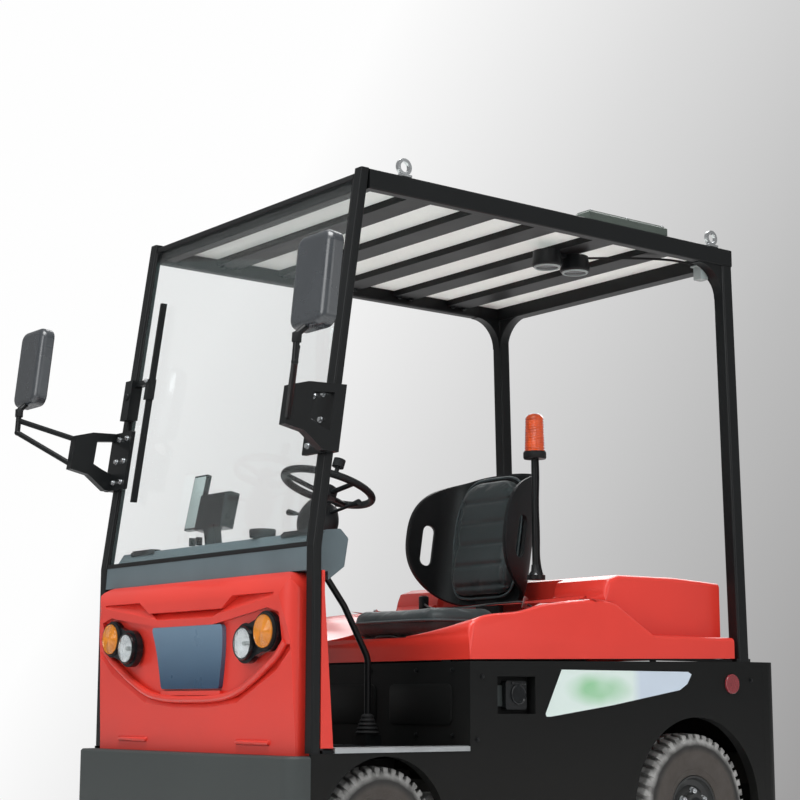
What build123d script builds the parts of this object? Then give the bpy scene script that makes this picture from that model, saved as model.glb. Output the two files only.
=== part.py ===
"""Airport baggage tug: a four-wheel electric tow tractor with an open overhead guard.

Millimetres. +X is forward, +Y is the driver's left, +Z is up. The origin lies on the
floor, under the middle of the overall length and width.
"""

from build123d import *
from math import atan2, cos, radians, sin, tan
import os

os.makedirs("parts", exist_ok=True)

# Fits and clearances
seat_gap = 0.3            # between pieces that rest on or against each other
moving_gap = 6.0          # between pieces that move past each other
running_fit = 0.06        # radial clearance of a shaft in its bearing

# Main layout
body_half = 600.0         # centre line to the outer face of the side panels
sheet = 8.0               # body panel thickness
sill_z = 150.0            # lower edge of the side panels
floor_z = 435.0           # top of the driver's floor
body_top_z = 700.0        # top edge of the black body behind the driver
seat_box_x = 377.0        # front wall of the battery compartment
body_rear_x = -980.0      # outer face of the tail
tail_corner_r = 55.0
side_panel_rear_x = -900.0
bumper_front_x = 1008.0
bumper_back_x = 940.0
bumper_top_z = 420.0
kick_x = 862.0            # dark panel that closes the nose towards the driver
nose_back_x = 896.0
pillar_foot_z = floor_z - sheet + seat_gap

# Wheels and axles
wheelbase = 1263.0
front_axle_x = 686.0
rear_axle_x = front_axle_x - wheelbase
front_tyre_r = 195.0
front_tyre_w = 112.0
rear_tyre_r = 235.0
rear_tyre_w = 126.0
front_wheel_y = 530.0     # tyre middle
rear_wheel_y = 526.0
rim_r = 101.0
front_arch_r = 222.0
rear_arch_r = 285.0
arch_lip = 26.0
kingpin_y = 436.0
kingpin_r = 14.0
spindle_r = 22.0
rear_shaft_r = 28.0
steer_arm = 110.0

# Chassis
rail_y = 290.0
rail_w = 60.0
rail_z = 300.0
rail_h = 100.0
rail_front_x = bumper_back_x
rail_rear_x = body_rear_x + sheet + seat_gap

# Overhead guard
guard_top_z = 2100.0
pillar_depth = 30.0
pillar_width = 36.0
pillar_front_x = 938.0
pillar_bend_z = 991.0
pillar_top_x = 780.0
post_size = 48.0
post_top_x = -784.0       # middle of the rear post at the roof
post_foot_x = -814.0      # middle of the rear post at the deck
roof_rail_h = 60.0
slat_w = 92.0
slat_h = 22.0
slat_count = 5
roof_sheet = 6.0
gusset = 110.0

# Hood and seat
hood_rear_x = -765.0
hood_front_x = seat_box_x
hood_sheet = 8.0
hood_deck_z = 760.0
hood_low_front_z = 690.0
hood_low_rear_z = 710.0
shoulder_low_z = 778.0
bulge_top_z = 970.0
bulge_half = 500.0
bulge_front_x = -67.0
valley_half = 300.0
valley_rear_x = -262.0
hinge_x = -742.0
hinge_z = 760.0
hinge_pin_r = 6.0

# Steering
column_foot_x = 735.0
wheel_centre_x = 458.0
wheel_centre_z = 1242.0
wheel_ring_r = 145.0
wheel_grip_r = 12.0
column_r = 24.0

# Tow hitch
hitch_z = 330.0
hitch_reach = 180.0
hitch_plate = 20.0
hitch_gap = 62.0
hitch_w = 120.0
pin_r = 12.5


def save(part, name):
    part.label = name
    export_step(part, f"parts/{name}.step")


def block(x0, x1, y0, y1, z0, z1, mode=Mode.ADD):
    """A box between two corners, placed in world coordinates."""
    with Locations(((x0 + x1) / 2, (y0 + y1) / 2, (z0 + z1) / 2)):
        Box(abs(x1 - x0), abs(y1 - y0), abs(z1 - z0), mode=mode)


def both_sides(one):
    """The piece and its mirror image across the vehicle's middle plane."""
    with BuildPart() as pair:
        add(one)
        mirror(one, about=Plane.XZ)
    return pair.part


def bar(start, end, radius):
    """A round bar between two points."""
    a = Vector(*start)
    b = Vector(*end)
    with BuildPart() as piece:
        with BuildSketch(Plane(origin=a, z_dir=b - a)):
            Circle(radius)
        extrude(amount=(b - a).length)
    return piece.part


# Chassis: two rails, cross members and the outriggers that carry the side panels

rail_top_z = rail_z + rail_h
floor_under_z = floor_z - sheet
outrigger_end = body_half - sheet - seat_gap
cross_xs = (rail_rear_x + 30, -250.0, seat_box_x - 20)

with BuildPart() as chassis_frame:
    for side in (1, -1):
        block(rail_rear_x, rail_front_x, side * (rail_y - rail_w / 2), side * (rail_y + rail_w / 2),
              rail_z, rail_top_z)
    for x in cross_xs:
        block(x - 30, x + 30, -rail_y, rail_y, rail_z, rail_top_z)
    for side in (1, -1):
        for x in cross_xs[1:]:
            block(x - 20, x + 20, side * rail_y, side * outrigger_end, rail_z + 40, rail_top_z)
        block(rail_rear_x, rail_rear_x + 40, side * rail_y, side * (outrigger_end - tail_corner_r),
              rail_z, rail_top_z)
    block(rail_front_x - 40, rail_front_x, -outrigger_end, outrigger_end, rail_z + 40, bumper_top_z)
    block(seat_box_x + 20, seat_box_x + 60, -outrigger_end, outrigger_end,
          rail_top_z - 30, floor_under_z - seat_gap)
save(chassis_frame.part, "chassis_frame")

# Front bumper: a thick plate that wraps round both corners

bumper_low_z = 130.0
bumper_wall = 34.0
with BuildPart() as front_bumper:
    with BuildSketch(Plane.XY.offset(bumper_low_z)):
        with Locations((bumper_front_x - 100, 0)):
            RectangleRounded(200, 2 * body_half, 46)
        with Locations((bumper_front_x - bumper_wall - 100, 0)):
            RectangleRounded(200, 2 * (body_half - bumper_wall), 20, mode=Mode.SUBTRACT)
    extrude(amount=bumper_top_z - bumper_low_z)
    with BuildSketch(Plane.XY.offset(bumper_low_z)):
        with Locations((bumper_back_x - 200, 0)):
            Rectangle(400, 4 * body_half)
    extrude(amount=bumper_top_z - bumper_low_z, mode=Mode.SUBTRACT)
    block(bumper_back_x + seat_gap, bumper_front_x - bumper_wall, -body_half + bumper_wall,
          body_half - bumper_wall, bumper_top_z - 16, bumper_top_z)
    chamfer(front_bumper.edges().group_by(Axis.Z)[-1].filter_by_position(Axis.X, bumper_back_x + 1, 2000)
            .filter_by(lambda e: e.center().X > bumper_front_x - 50 or abs(e.center().Y) > body_half - 20), 6)
save(front_bumper.part, "front_bumper")

# Side panels: black skins with both wheel arches and a service recess

recess_x = 197.0
recess_z = 587.0
recess_w = 150.0
recess_h = 110.0


def side_panel_on_left():
    face = Plane.XZ.offset(-(body_half - sheet))
    panel_front_x = bumper_back_x - seat_gap
    with BuildPart() as panel:
        with BuildSketch(face):
            with BuildLine():
                Polyline((side_panel_rear_x, sill_z), (panel_front_x, sill_z),
                         (panel_front_x, floor_under_z), (seat_box_x, floor_under_z),
                         (seat_box_x, hood_low_front_z - moving_gap), (hood_rear_x, body_top_z),
                         (side_panel_rear_x, body_top_z), close=True)
            make_face()
            with Locations((rear_axle_x, rear_tyre_r)):
                Circle(rear_arch_r, mode=Mode.SUBTRACT)
            with Locations((rear_axle_x, rear_tyre_r / 2)):
                Rectangle(2 * rear_arch_r, rear_tyre_r, mode=Mode.SUBTRACT)
            with Locations((front_axle_x, front_tyre_r)):
                Circle(front_arch_r, mode=Mode.SUBTRACT)
            with Locations((front_axle_x, front_tyre_r / 2)):
                Rectangle(2 * front_arch_r, front_tyre_r, mode=Mode.SUBTRACT)
            with Locations((recess_x, recess_z)):
                RectangleRounded(recess_w, recess_h, 14, mode=Mode.SUBTRACT)
        extrude(amount=-sheet)
        # arch lip, turned inwards
        with BuildSketch(face):
            with Locations((rear_axle_x, rear_tyre_r)):
                Circle(rear_arch_r + 5)
                Circle(rear_arch_r, mode=Mode.SUBTRACT)
            with Locations((rear_axle_x, -rear_arch_r + sill_z)):
                Rectangle(4 * rear_arch_r, 2 * rear_arch_r, mode=Mode.SUBTRACT)
        extrude(amount=arch_lip)
        with BuildSketch(face):
            with Locations((front_axle_x, front_tyre_r)):
                Circle(front_arch_r + 5)
                Circle(front_arch_r, mode=Mode.SUBTRACT)
            with Locations((front_axle_x, -front_arch_r + sill_z)):
                Rectangle(4 * front_arch_r, 2 * front_arch_r, mode=Mode.SUBTRACT)
        extrude(amount=arch_lip)
        # pan behind the service recess
        block(recess_x - recess_w / 2 - 5, recess_x + recess_w / 2 + 5, body_half - sheet - 34,
              body_half - sheet, recess_z - recess_h / 2 - 5, recess_z + recess_h / 2 + 5)
        block(recess_x - recess_w / 2, recess_x + recess_w / 2, body_half - sheet - 29,
              body_half, recess_z - recess_h / 2, recess_z + recess_h / 2, Mode.SUBTRACT)
    return panel.part


with BuildPart() as side_panel_left:
    add(side_panel_on_left())
save(side_panel_left.part, "side_panel_left")

with BuildPart() as side_panel_right:
    mirror(side_panel_left.part, about=Plane.XZ)
save(side_panel_right.part, "side_panel_right")


# Tail: a wrapped rear wall and the narrow deck behind the hood

deck_front_x = hood_rear_x - 10
with BuildPart() as tail_panel:
    tail_len = side_panel_rear_x - seat_gap - body_rear_x
    with BuildSketch(Plane.XY.offset(sill_z)):
        with Locations((body_rear_x + tail_corner_r * 2, 0)):
            RectangleRounded(tail_corner_r * 4, 2 * body_half, tail_corner_r)
            RectangleRounded(tail_corner_r * 4 - 2 * sheet, 2 * (body_half - sheet), tail_corner_r - sheet,
                             mode=Mode.SUBTRACT)
        with Locations((body_rear_x + tail_len + 200, 0)):
            Rectangle(400, 4 * body_half, mode=Mode.SUBTRACT)
    extrude(amount=body_top_z - sill_z)
    with BuildSketch(Plane.XY.offset(body_top_z - sheet)):
        with Locations((body_rear_x + tail_corner_r * 2, 0)):
            RectangleRounded(tail_corner_r * 4, 2 * body_half, tail_corner_r)
        with Locations((body_rear_x + tail_len + 200, 0)):
            Rectangle(400, 4 * body_half, mode=Mode.SUBTRACT)
        with Locations(((deck_front_x + body_rear_x + tail_corner_r) / 2, 0)):
            Rectangle(deck_front_x - body_rear_x - tail_corner_r, 2 * (body_half - sheet - seat_gap))
    extrude(amount=sheet)
save(tail_panel.part, "tail_panel")

# Driver's floor with a raised kerb along the dash side, and the step trims

mat_top_z = floor_z + 3
with BuildPart() as floor_plate:
    block(seat_box_x + seat_gap, nose_back_x - seat_gap, -body_half + sheet, body_half - sheet, floor_under_z, floor_z)
    for side in (1, -1):
        for i in range(9):
            rib_x = seat_box_x + 70 + i * 44
            block(rib_x, rib_x + 12, side * 90, side * (body_half - 70), floor_z, mat_top_z)
save(floor_plate.part, "floor_plate")

with BuildPart() as step_left:
    block(seat_box_x + 2, kick_x, body_half - sheet + seat_gap, body_half + 2, floor_under_z + seat_gap, floor_z + 6)
    block(seat_box_x + 2, kick_x, body_half - 52, body_half + 2, floor_z + seat_gap, floor_z + 6)
save(both_sides(step_left.part), "step_trims")

# Battery compartment: front wall with stiffening swages and the tray under the battery

tray_z = rail_top_z + seat_gap
with BuildPart() as seat_box:
    block(seat_box_x - sheet, seat_box_x, -body_half + sheet + seat_gap, body_half - sheet - seat_gap,
          tray_z, hood_low_front_z - moving_gap)
    block(-320, seat_box_x - sheet, -outrigger_end, outrigger_end, tray_z, tray_z + 6)
    block(-320, -314, -outrigger_end, outrigger_end, tray_z, tray_z + 150)
    for side in (1, -1):
        block(seat_box_x - sheet, seat_box_x, side * (body_half - 130), side * (body_half - 90),
              hood_low_front_z - moving_gap, hood_low_front_z - seat_gap)
save(seat_box.part, "seat_box")

with BuildPart() as battery:
    block(-290, 320, -390, 390, tray_z + 6 + seat_gap, hood_deck_z - hood_sheet - 14)
    chamfer(battery.edges().group_by(Axis.Z)[-1], 8)
save(battery.part, "battery")

# Nose: red moulding between and behind the front pillars, with a sunk face for the lamps and the plate

nose_top_z = 924.0
nose_low_z = bumper_top_z + seat_gap
nose_half = 546.0
nose_wall = 34.0
nose_brow_x = 983.0
nose_brow_z = 858.0
nose_side_r = 48.0        # rounding towards the pillars, seen from above
pillar_back_x = pillar_front_x - pillar_depth
cheek_low_x = 866.0
cheek_top_x = 898.0
mask_depth = 15.0         # how far the lamps and the plate are sunk
mask_lip = 58.0           # slope of the light lip round the sunk face, in degrees
mask_floor_x = 941.0
mask_reach = 60.0
brow_depth = 26.0
ledge_depth = 14.0


def nose_solid(inset):
    """The nose between the pillars, with every outer face moved in by inset."""
    low = nose_low_z - 2 * inset
    half = nose_half - inset
    with BuildPart() as nose:
        with BuildSketch(Plane.XZ):
            with BuildLine():
                rise = Spline((952 - inset, low), (960 - inset, 600), (968 - inset, 740),
                              (nose_brow_x - inset, nose_brow_z), tangents=((0, 1), (0, 1)))
                brow = TangentArc(rise @ 1, (940 - inset, nose_top_z - inset), tangent=rise % 1)
                Polyline(brow @ 1, (nose_back_x - 2 * inset, nose_top_z - inset), (nose_back_x - 2 * inset, low),
                         rise @ 0)
            make_face()
        extrude(amount=half, both=True)
        with BuildSketch(Plane.YZ.offset(nose_back_x - 40)):
            with Locations((0, nose_top_z - inset - 500)):
                RectangleRounded(2 * half, 1000, 58 - inset)
        extrude(amount=200, mode=Mode.INTERSECT)
        with BuildSketch(Plane.XY.offset(low)):
            with Locations((nose_brow_x - inset - 400, 0)):
                RectangleRounded(800, 2 * half, nose_side_r)
        extrude(amount=nose_top_z - low, mode=Mode.INTERSECT)
    return nose.part


def mask_prism(slope):
    """The outline of the sunk face, run forward through the nose and widened by the slope in degrees."""
    with BuildPart() as prism:
        with BuildSketch(Plane.YZ.offset(mask_floor_x)):
            with BuildLine():
                Polyline((-496, 812), (-440, 826), (-150, 788), (150, 788), (440, 826), (496, 812), (494, 724),
                         (440, 678), (250, 590), (90, 574), (-90, 574), (-250, 590), (-440, 678), (-494, 724),
                         close=True)
            make_face()
        extrude(amount=mask_reach, taper=-slope)
    return prism.part


def sunk_face():
    """The sunk face that holds the lamps and the plate, with its sloping lower lip, cut from the nose."""
    with BuildPart() as lip:
        add(mask_prism(mask_lip))
        block(mask_floor_x, mask_floor_x + mask_reach, -nose_half, nose_half, 500, 722, Mode.INTERSECT)
    with BuildPart() as sunk:
        add(mask_prism(0))
        add(lip.part)
        add(nose_solid(mask_depth), mode=Mode.SUBTRACT)
    return sunk.part


def ledge_cut(outline, low_start, low_end, depth, height):
    """A cut in the nose above a line across it, with a floor that slopes back and up from the line."""
    along = Vector(0, low_end[0] - low_start[0], low_end[1] - low_start[1]).normalized()
    slope = Vector(-depth, 0, 0) + Vector(0, -along.Z, along.Y) * height
    with BuildPart() as cut:
        with BuildSketch(Plane.YZ.offset(nose_back_x)):
            with BuildLine():
                Polyline(*outline, close=True)
            make_face()
        extrude(amount=200)
        start = Vector(nose_brow_x, *low_start)
        up = along.cross(slope) if along.cross(slope).Z > 0 else slope.cross(along)
        with BuildSketch(Plane(origin=start, x_dir=along, z_dir=up)):
            Rectangle(2000, 600)
        extrude(amount=400, mode=Mode.INTERSECT)
    return cut.part


brow_outer = (470.0, 857.0)
brow_inner = (150.0, 806.0)
with BuildPart() as nose_cowl:
    add(nose_solid(0))
    add(nose_solid(nose_wall), mode=Mode.SUBTRACT)
    add(sunk_face(), mode=Mode.SUBTRACT)
    # bright ledge over the plate that widens into a brow over each lamp
    middle = ledge_cut(((-brow_inner[0], brow_inner[1]), brow_inner, (205, 832), (-205, 832)),
                       (-brow_inner[0], brow_inner[1]), brow_inner, brow_depth, 26)
    add(middle, mode=Mode.SUBTRACT)
    brow = ledge_cut((brow_inner, brow_outer, (476, 867), (262, 867), (205, 832)), brow_inner, brow_outer,
                     brow_depth, 40)
    add(both_sides(brow), mode=Mode.SUBTRACT)
    # sloping pockets near the lower corners
    pocket = ledge_cut(((188, 438), (413, 438), (400, 462), (200, 462)), (188, 438), (413, 438), ledge_depth, 20)
    add(both_sides(pocket), mode=Mode.SUBTRACT)
    # thin ledge under the plate
    with BuildPart() as sill:
        block(920, nose_brow_x - 4, -166, 166, 585, 598)
        add(nose_solid(nose_wall), mode=Mode.SUBTRACT)
        add(nose_solid(2), mode=Mode.INTERSECT)
    add(sill.part)
    # cheeks that close the nose behind the pillars
    for side in (1, -1):
        with BuildSketch(Plane.XZ.offset(-side * (nose_half - nose_wall / 2))):
            with BuildLine():
                Polyline((pillar_back_x - seat_gap, floor_z + 6 + seat_gap), (cheek_low_x, floor_z + 6 + seat_gap),
                         (cheek_top_x, nose_top_z - 60), (cheek_top_x, nose_top_z),
                         (pillar_back_x - seat_gap, nose_top_z), close=True)
            make_face()
        extrude(amount=-side * (body_half - nose_half + nose_wall / 2))
save(nose_cowl.part, "nose_cowl")

# Blank plate in the middle of the nose

plate_top_z = 788.0
plate_low_z = 604.0
with BuildPart() as nose_plate:
    with BuildSketch(Plane.YZ.offset(nose_back_x)):
        with BuildLine():
            Polyline((-200, plate_top_z), (200, plate_top_z), (162, plate_low_z), (-162, plate_low_z), close=True)
        make_face()
    extrude(amount=nose_brow_x - nose_back_x)
    fillet(nose_plate.edges().filter_by(Axis.X), 12)
    add(nose_solid(mask_depth - seat_gap), mode=Mode.SUBTRACT)
    add(nose_solid(1), mode=Mode.INTERSECT)
save(nose_plate.part, "nose_plate")

# Lamps: black housings in the nose, each with a headlamp and an amber indicator

headlamp_y = 330.0
headlamp_z = 729.0
headlamp_r = 43.0
indicator_y = 432.0
indicator_z = 760.0
indicator_r = 47.0
lamp_back_x = 966.0


def lamp_lens(y, z, radius, depth):
    with BuildPart() as lens:
        with BuildSketch(Plane.YZ.offset(lamp_back_x + 14)):
            with Locations((y, z)):
                Circle(radius)
        extrude(amount=depth)
        fillet(lens.edges().filter_by(GeomType.CIRCLE).sort_by(Axis.X)[-1], depth * 0.6)
    return lens.part


with BuildPart() as housing_left:
    with BuildSketch(Plane.YZ.offset(lamp_back_x - 6)):
        with Locations((headlamp_y, headlamp_z)):
            Circle(headlamp_r + 14)
        with Locations((indicator_y, indicator_z)):
            Circle(indicator_r + 10)
        with BuildLine():
            Polyline((headlamp_y, headlamp_z + 50), (indicator_y, indicator_z + 50),
                     (indicator_y + 10, indicator_z - 50), (headlamp_y, headlamp_z - 50), close=True)
        make_face()
    extrude(amount=20 - seat_gap)
    add(nose_solid(mask_depth - seat_gap), mode=Mode.SUBTRACT)
save(both_sides(housing_left.part), "lamp_housings")
save(both_sides(lamp_lens(headlamp_y, headlamp_z, headlamp_r, 16)), "headlamps")
save(both_sides(lamp_lens(indicator_y, indicator_z, indicator_r, 18)), "indicators")

# Dashboard: grey scuttle under the windscreen, the shelf behind it and the panel down to the floor

scuttle_top_z = pillar_bend_z - seat_gap
dash_back_x = 792.0
dash_shelf_front = 872.0
dash_shelf_low = 1040.0
dash_shelf_back = 820.0
dash_shelf_high = 1046.0
with BuildPart() as dashboard:
    with BuildSketch(Plane.XZ):
        with BuildLine():
            Polyline((936, nose_top_z + seat_gap), (932, scuttle_top_z), (905, scuttle_top_z),
                     (dash_shelf_front, dash_shelf_low), (dash_shelf_back, dash_shelf_high), (dash_back_x, 1020), (dash_back_x + 14, 940), (kick_x, 900),
                     (kick_x, nose_top_z + seat_gap), close=True)
        make_face()
    extrude(amount=body_half - pillar_width - seat_gap, both=True)
    fillet(dashboard.edges().filter_by(lambda e: e.center().Z > 1000 and e.center().X < 890 and abs(e.center().Y) < 1), 9)
save(dashboard.part, "dashboard")

with BuildPart() as kick_panel:
    kick_half = nose_half - nose_wall / 2 - seat_gap
    block(kick_x, kick_x + sheet, -kick_half, kick_half, floor_z + seat_gap, 900)
    for side in (1, -1):
        block(kick_x + sheet, nose_back_x - seat_gap, side * (kick_half - 20), side * kick_half,
              floor_z + seat_gap, 900)
save(kick_panel.part, "kick_panel")

with BuildPart() as dash_display:
    shelf_slope = Vector(dash_shelf_front - dash_shelf_back, 0, dash_shelf_low - dash_shelf_high)
    shelf_normal = Vector(-shelf_slope.Z, 0, shelf_slope.X).normalized()
    shelf_mid = Vector((dash_shelf_front + dash_shelf_back) / 2, -60, (dash_shelf_low + dash_shelf_high) / 2)
    with BuildSketch(Plane(origin=shelf_mid + shelf_normal * seat_gap, x_dir=(0, 1, 0), z_dir=shelf_normal)):
        RectangleRounded(60, 30, 6)
    extrude(amount=60)
    with Locations(Location((836, -60, 1142), (0, -12, 0))):
        Box(34, 170, 112)
    with Locations(Location((830, -180, 1180), (0, -12, 0))):
        Box(16, 74, 178)
save(dash_display.part, "dash_display")

# Guard: bent front pillars and the rear posts

pillar_lean = atan2(pillar_front_x - pillar_top_x, guard_top_z - pillar_bend_z)
post_lean = atan2(post_top_x - post_foot_x, guard_top_z - body_top_z)
pillar_mid_y = body_half - pillar_width / 2
post_mid_y = body_half - post_size / 2

with BuildPart() as pillar_left:
    with BuildSketch(Plane.XZ.offset(-(body_half - pillar_width))):
        with BuildLine():
            Polyline((pillar_back_x, pillar_foot_z), (pillar_front_x, pillar_foot_z),
                     (pillar_front_x, pillar_bend_z), (pillar_top_x, guard_top_z),
                     (pillar_top_x - pillar_depth, guard_top_z), (pillar_back_x, pillar_bend_z - 2), close=True)
        make_face()
    extrude(amount=-pillar_width)
    fillet(pillar_left.faces().filter_by(Axis.Y).edges().filter_by(lambda e: e.length > 200), 6)
save(both_sides(pillar_left.part), "guard_pillars")

with BuildPart() as post_left:
    with BuildSketch(Plane(origin=(post_foot_x, post_mid_y, body_top_z + seat_gap))):
        RectangleRounded(post_size, post_size, 8)
    with BuildSketch(Plane(origin=(post_top_x, post_mid_y, guard_top_z - roof_rail_h - seat_gap))):
        RectangleRounded(post_size, post_size, 8)
    loft()
    block(post_foot_x - 30, post_foot_x + 36, post_mid_y - post_size / 2 - 30, body_half - 2,
          body_top_z + seat_gap, body_top_z + 10)
save(both_sides(post_left.part), "guard_posts")

# Roof: side rails, cross bars, slats and the curved gussets at the rear posts

rail_back_x = post_top_x - post_size / 2
rail_low_z = guard_top_z - roof_rail_h
slat_top_z = guard_top_z - 14
roof_inner = body_half - pillar_width
rail_head_x = pillar_top_x - pillar_depth - seat_gap
slat_pitch = (rail_head_x - rail_back_x) / (slat_count + 1)

with BuildPart() as roof_frame:
    for side in (1, -1):
        block(rail_back_x, rail_head_x, side * roof_inner, side * body_half, rail_low_z, guard_top_z)
    fillet(roof_frame.edges().filter_by(Axis.X), 6)
    block(rail_head_x - 40, rail_head_x, -roof_inner - 10, roof_inner + 10, rail_low_z + 8, guard_top_z - 6)
    block(rail_back_x, rail_back_x + post_size, -roof_inner - 10, roof_inner + 10, rail_low_z, guard_top_z - 6)
    for i in range(slat_count):
        x = rail_back_x + (i + 1) * slat_pitch
        block(x - slat_w / 2, x + slat_w / 2, -roof_inner - 10, roof_inner + 10, slat_top_z - slat_h, slat_top_z)
    # curved gussets from the rear posts to the side rails and the rear cross bar
    for side in (1, -1):
        with BuildSketch(Plane.XZ.offset(-side * (body_half - 6))):
            with BuildLine():
                corner = Line((post_top_x + post_size / 2 + seat_gap, rail_low_z + 1),
                              (post_top_x + post_size / 2 + seat_gap, rail_low_z - gusset))
                sweep_arc = TangentArc(corner @ 1, (post_top_x + post_size / 2 + gusset, rail_low_z - 2), tangent=(0, 1))
                Polyline(sweep_arc @ 1, (post_top_x + post_size / 2 + gusset, rail_low_z + 1), corner @ 0)
            make_face()
        extrude(amount=side * (post_size - 12))
save(roof_frame.part, "roof_frame")

with BuildPart() as roof_panel:
    block(rail_back_x + post_size + 4, rail_head_x - 44, -roof_inner + 1, roof_inner - 1,
          slat_top_z + seat_gap, slat_top_z + roof_sheet + seat_gap)
save(roof_panel.part, "roof_panel")

# Windscreen: flat glass between the leaning pillars

glass_thickness = 6.0
glass_top_z = guard_top_z - 12


def on_pillar(z, offset):
    """x on the leaning pillar's front line at height z, moved back square to it by offset."""
    return pillar_front_x - (z - pillar_bend_z) * tan(pillar_lean) - offset / cos(pillar_lean)


with BuildPart() as windscreen:
    with BuildSketch(Plane.XZ):
        with BuildLine():
            Polyline((on_pillar(pillar_bend_z, 8), pillar_bend_z), (on_pillar(glass_top_z, 8), glass_top_z),
                     (on_pillar(glass_top_z, 8 + glass_thickness), glass_top_z),
                     (on_pillar(pillar_bend_z, 8 + glass_thickness), pillar_bend_z), close=True)
        make_face()
    extrude(amount=roof_inner - seat_gap, both=True)
save(windscreen.part, "windscreen")

# Wiper: parked upright beside the right front pillar

wiper_y = -442.0
wiper_top_z = 1868.0
wiper_low_z = 1200.0
wiper_arm_z = 1600.0
blade_gap = 1.2


def wiper_bar(z0, z1, y0, y1, depth):
    """A bar that lies along the glass, just in front of it."""
    near = 8 - blade_gap
    with BuildPart() as piece:
        with BuildSketch(Plane.XZ.offset(-y0)):
            with BuildLine():
                Polyline((on_pillar(z0, near), z0), (on_pillar(z0, near - depth), z0),
                         (on_pillar(z1, near - depth), z1), (on_pillar(z1, near), z1), close=True)
            make_face()
        extrude(amount=-(y1 - y0))
    return piece.part


with BuildPart() as wiper:
    add(wiper_bar(wiper_low_z, wiper_top_z, wiper_y - 5, wiper_y + 5, 20))
    add(wiper_bar(wiper_arm_z - 60, wiper_arm_z + 8, wiper_y - 11, wiper_y + 11, 26))
    add(wiper_bar(wiper_arm_z - 8, wiper_arm_z + 8, -roof_inner + 4, wiper_y, 26))
    add(wiper_bar(wiper_arm_z - 120, wiper_arm_z + 14, -roof_inner + seat_gap, -roof_inner + 46, 40))
save(wiper.part, "wiper")

# Mirrors: a clamp plate and a D-shaped bracket on each front pillar, two tubes, a stem and the head

mirror_head_x = 1095.0
mirror_head_y = 819.0
mirror_head_z = 1671.0
mirror_h = 264.0
mirror_w = 160.0
mirror_t = 46.0
mirror_tilt = 6.0
mirror_tube_r = 9.0
clamp_z0 = 1250.0
clamp_z1 = 1444.0
bracket_y = body_half + seat_gap
bracket_t = 30.0
elbow = (1150.0, 806.0, 1447.0)
stem_top = (1145.0, 808.0, 1522.0)


def mirror_head(grown):
    """The left mirror's head, leaning back, with every face moved out by grown."""
    facing = Plane(origin=(mirror_head_x, mirror_head_y, mirror_head_z), x_dir=(0, 1, 0),
                   z_dir=(cos(radians(mirror_tilt)), 0, sin(radians(mirror_tilt))))
    with BuildPart() as head:
        with BuildSketch(facing.offset(-mirror_t / 2 - grown)):
            RectangleRounded(mirror_w + 2 * grown, mirror_h + 2 * grown, 34 + grown)
        extrude(amount=mirror_t + 2 * grown)
        fillet(head.faces().sort_by(Axis((0, 0, 0), facing.z_dir))[-1].edges(), 20)
    return head.part


with BuildPart() as mirror_arm_left:
    # plate across the front of the leaning pillar
    with BuildSketch(Plane.XZ.offset(-(body_half - 95))):
        with BuildLine():
            Polyline((on_pillar(clamp_z0, -seat_gap), clamp_z0), (on_pillar(clamp_z1, -seat_gap), clamp_z1),
                     (on_pillar(clamp_z1, -14), clamp_z1), (on_pillar(clamp_z0, -14), clamp_z0), close=True)
        make_face()
    extrude(amount=-(95 + bracket_t))
    fillet(mirror_arm_left.faces().sort_by(Axis.Y)[0].edges().filter_by(lambda e: e.length < 20), 5)
    # D-shaped bracket that ends in the tube socket
    with BuildSketch(Plane.XZ.offset(-bracket_y)):
        with BuildLine():
            Polyline((on_pillar(clamp_z1, 24), clamp_z1), (978, 1440), (1042, 1424), (1058, 1314), (992, 1300),
                     (930, 1252), (on_pillar(clamp_z0, 24), clamp_z0), close=True)
        make_face()
        with BuildLine():
            Polyline((on_pillar(1418, -14), 1418), (962, 1412), (974, 1336), (942, 1320),
                     (on_pillar(1306, -14), 1306), close=True)
        make_face(mode=Mode.SUBTRACT)
    extrude(amount=-bracket_t)
    tube_y = bracket_y + bracket_t / 2
    add(bar((1030, tube_y, 1412), (stem_top[0], stem_top[1], 1488), mirror_tube_r))
    add(bar((1040, tube_y, 1326), elbow, mirror_tube_r))
    add(bar(elbow, stem_top, mirror_tube_r))
    add(bar(stem_top, (1114, 814, 1550), mirror_tube_r))
    for corner in (elbow, stem_top):
        with Locations(corner):
            Sphere(mirror_tube_r + 1)
    add(mirror_head(seat_gap), mode=Mode.SUBTRACT)
save(both_sides(mirror_arm_left.part), "mirror_arms")
save(both_sides(mirror_head(0)), "mirror_heads")

# Steering column and wheel: both on one leaning line

column_lean = atan2(column_foot_x - wheel_centre_x, wheel_centre_z - floor_z)
column_dir = Vector(-sin(column_lean), 0, cos(column_lean))
wheel_centre = Vector(wheel_centre_x, 0, wheel_centre_z)
column_foot = Vector(column_foot_x, 0, floor_z + seat_gap)
shaft_r = 10.0
column_top = wheel_centre - column_dir * 62

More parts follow.
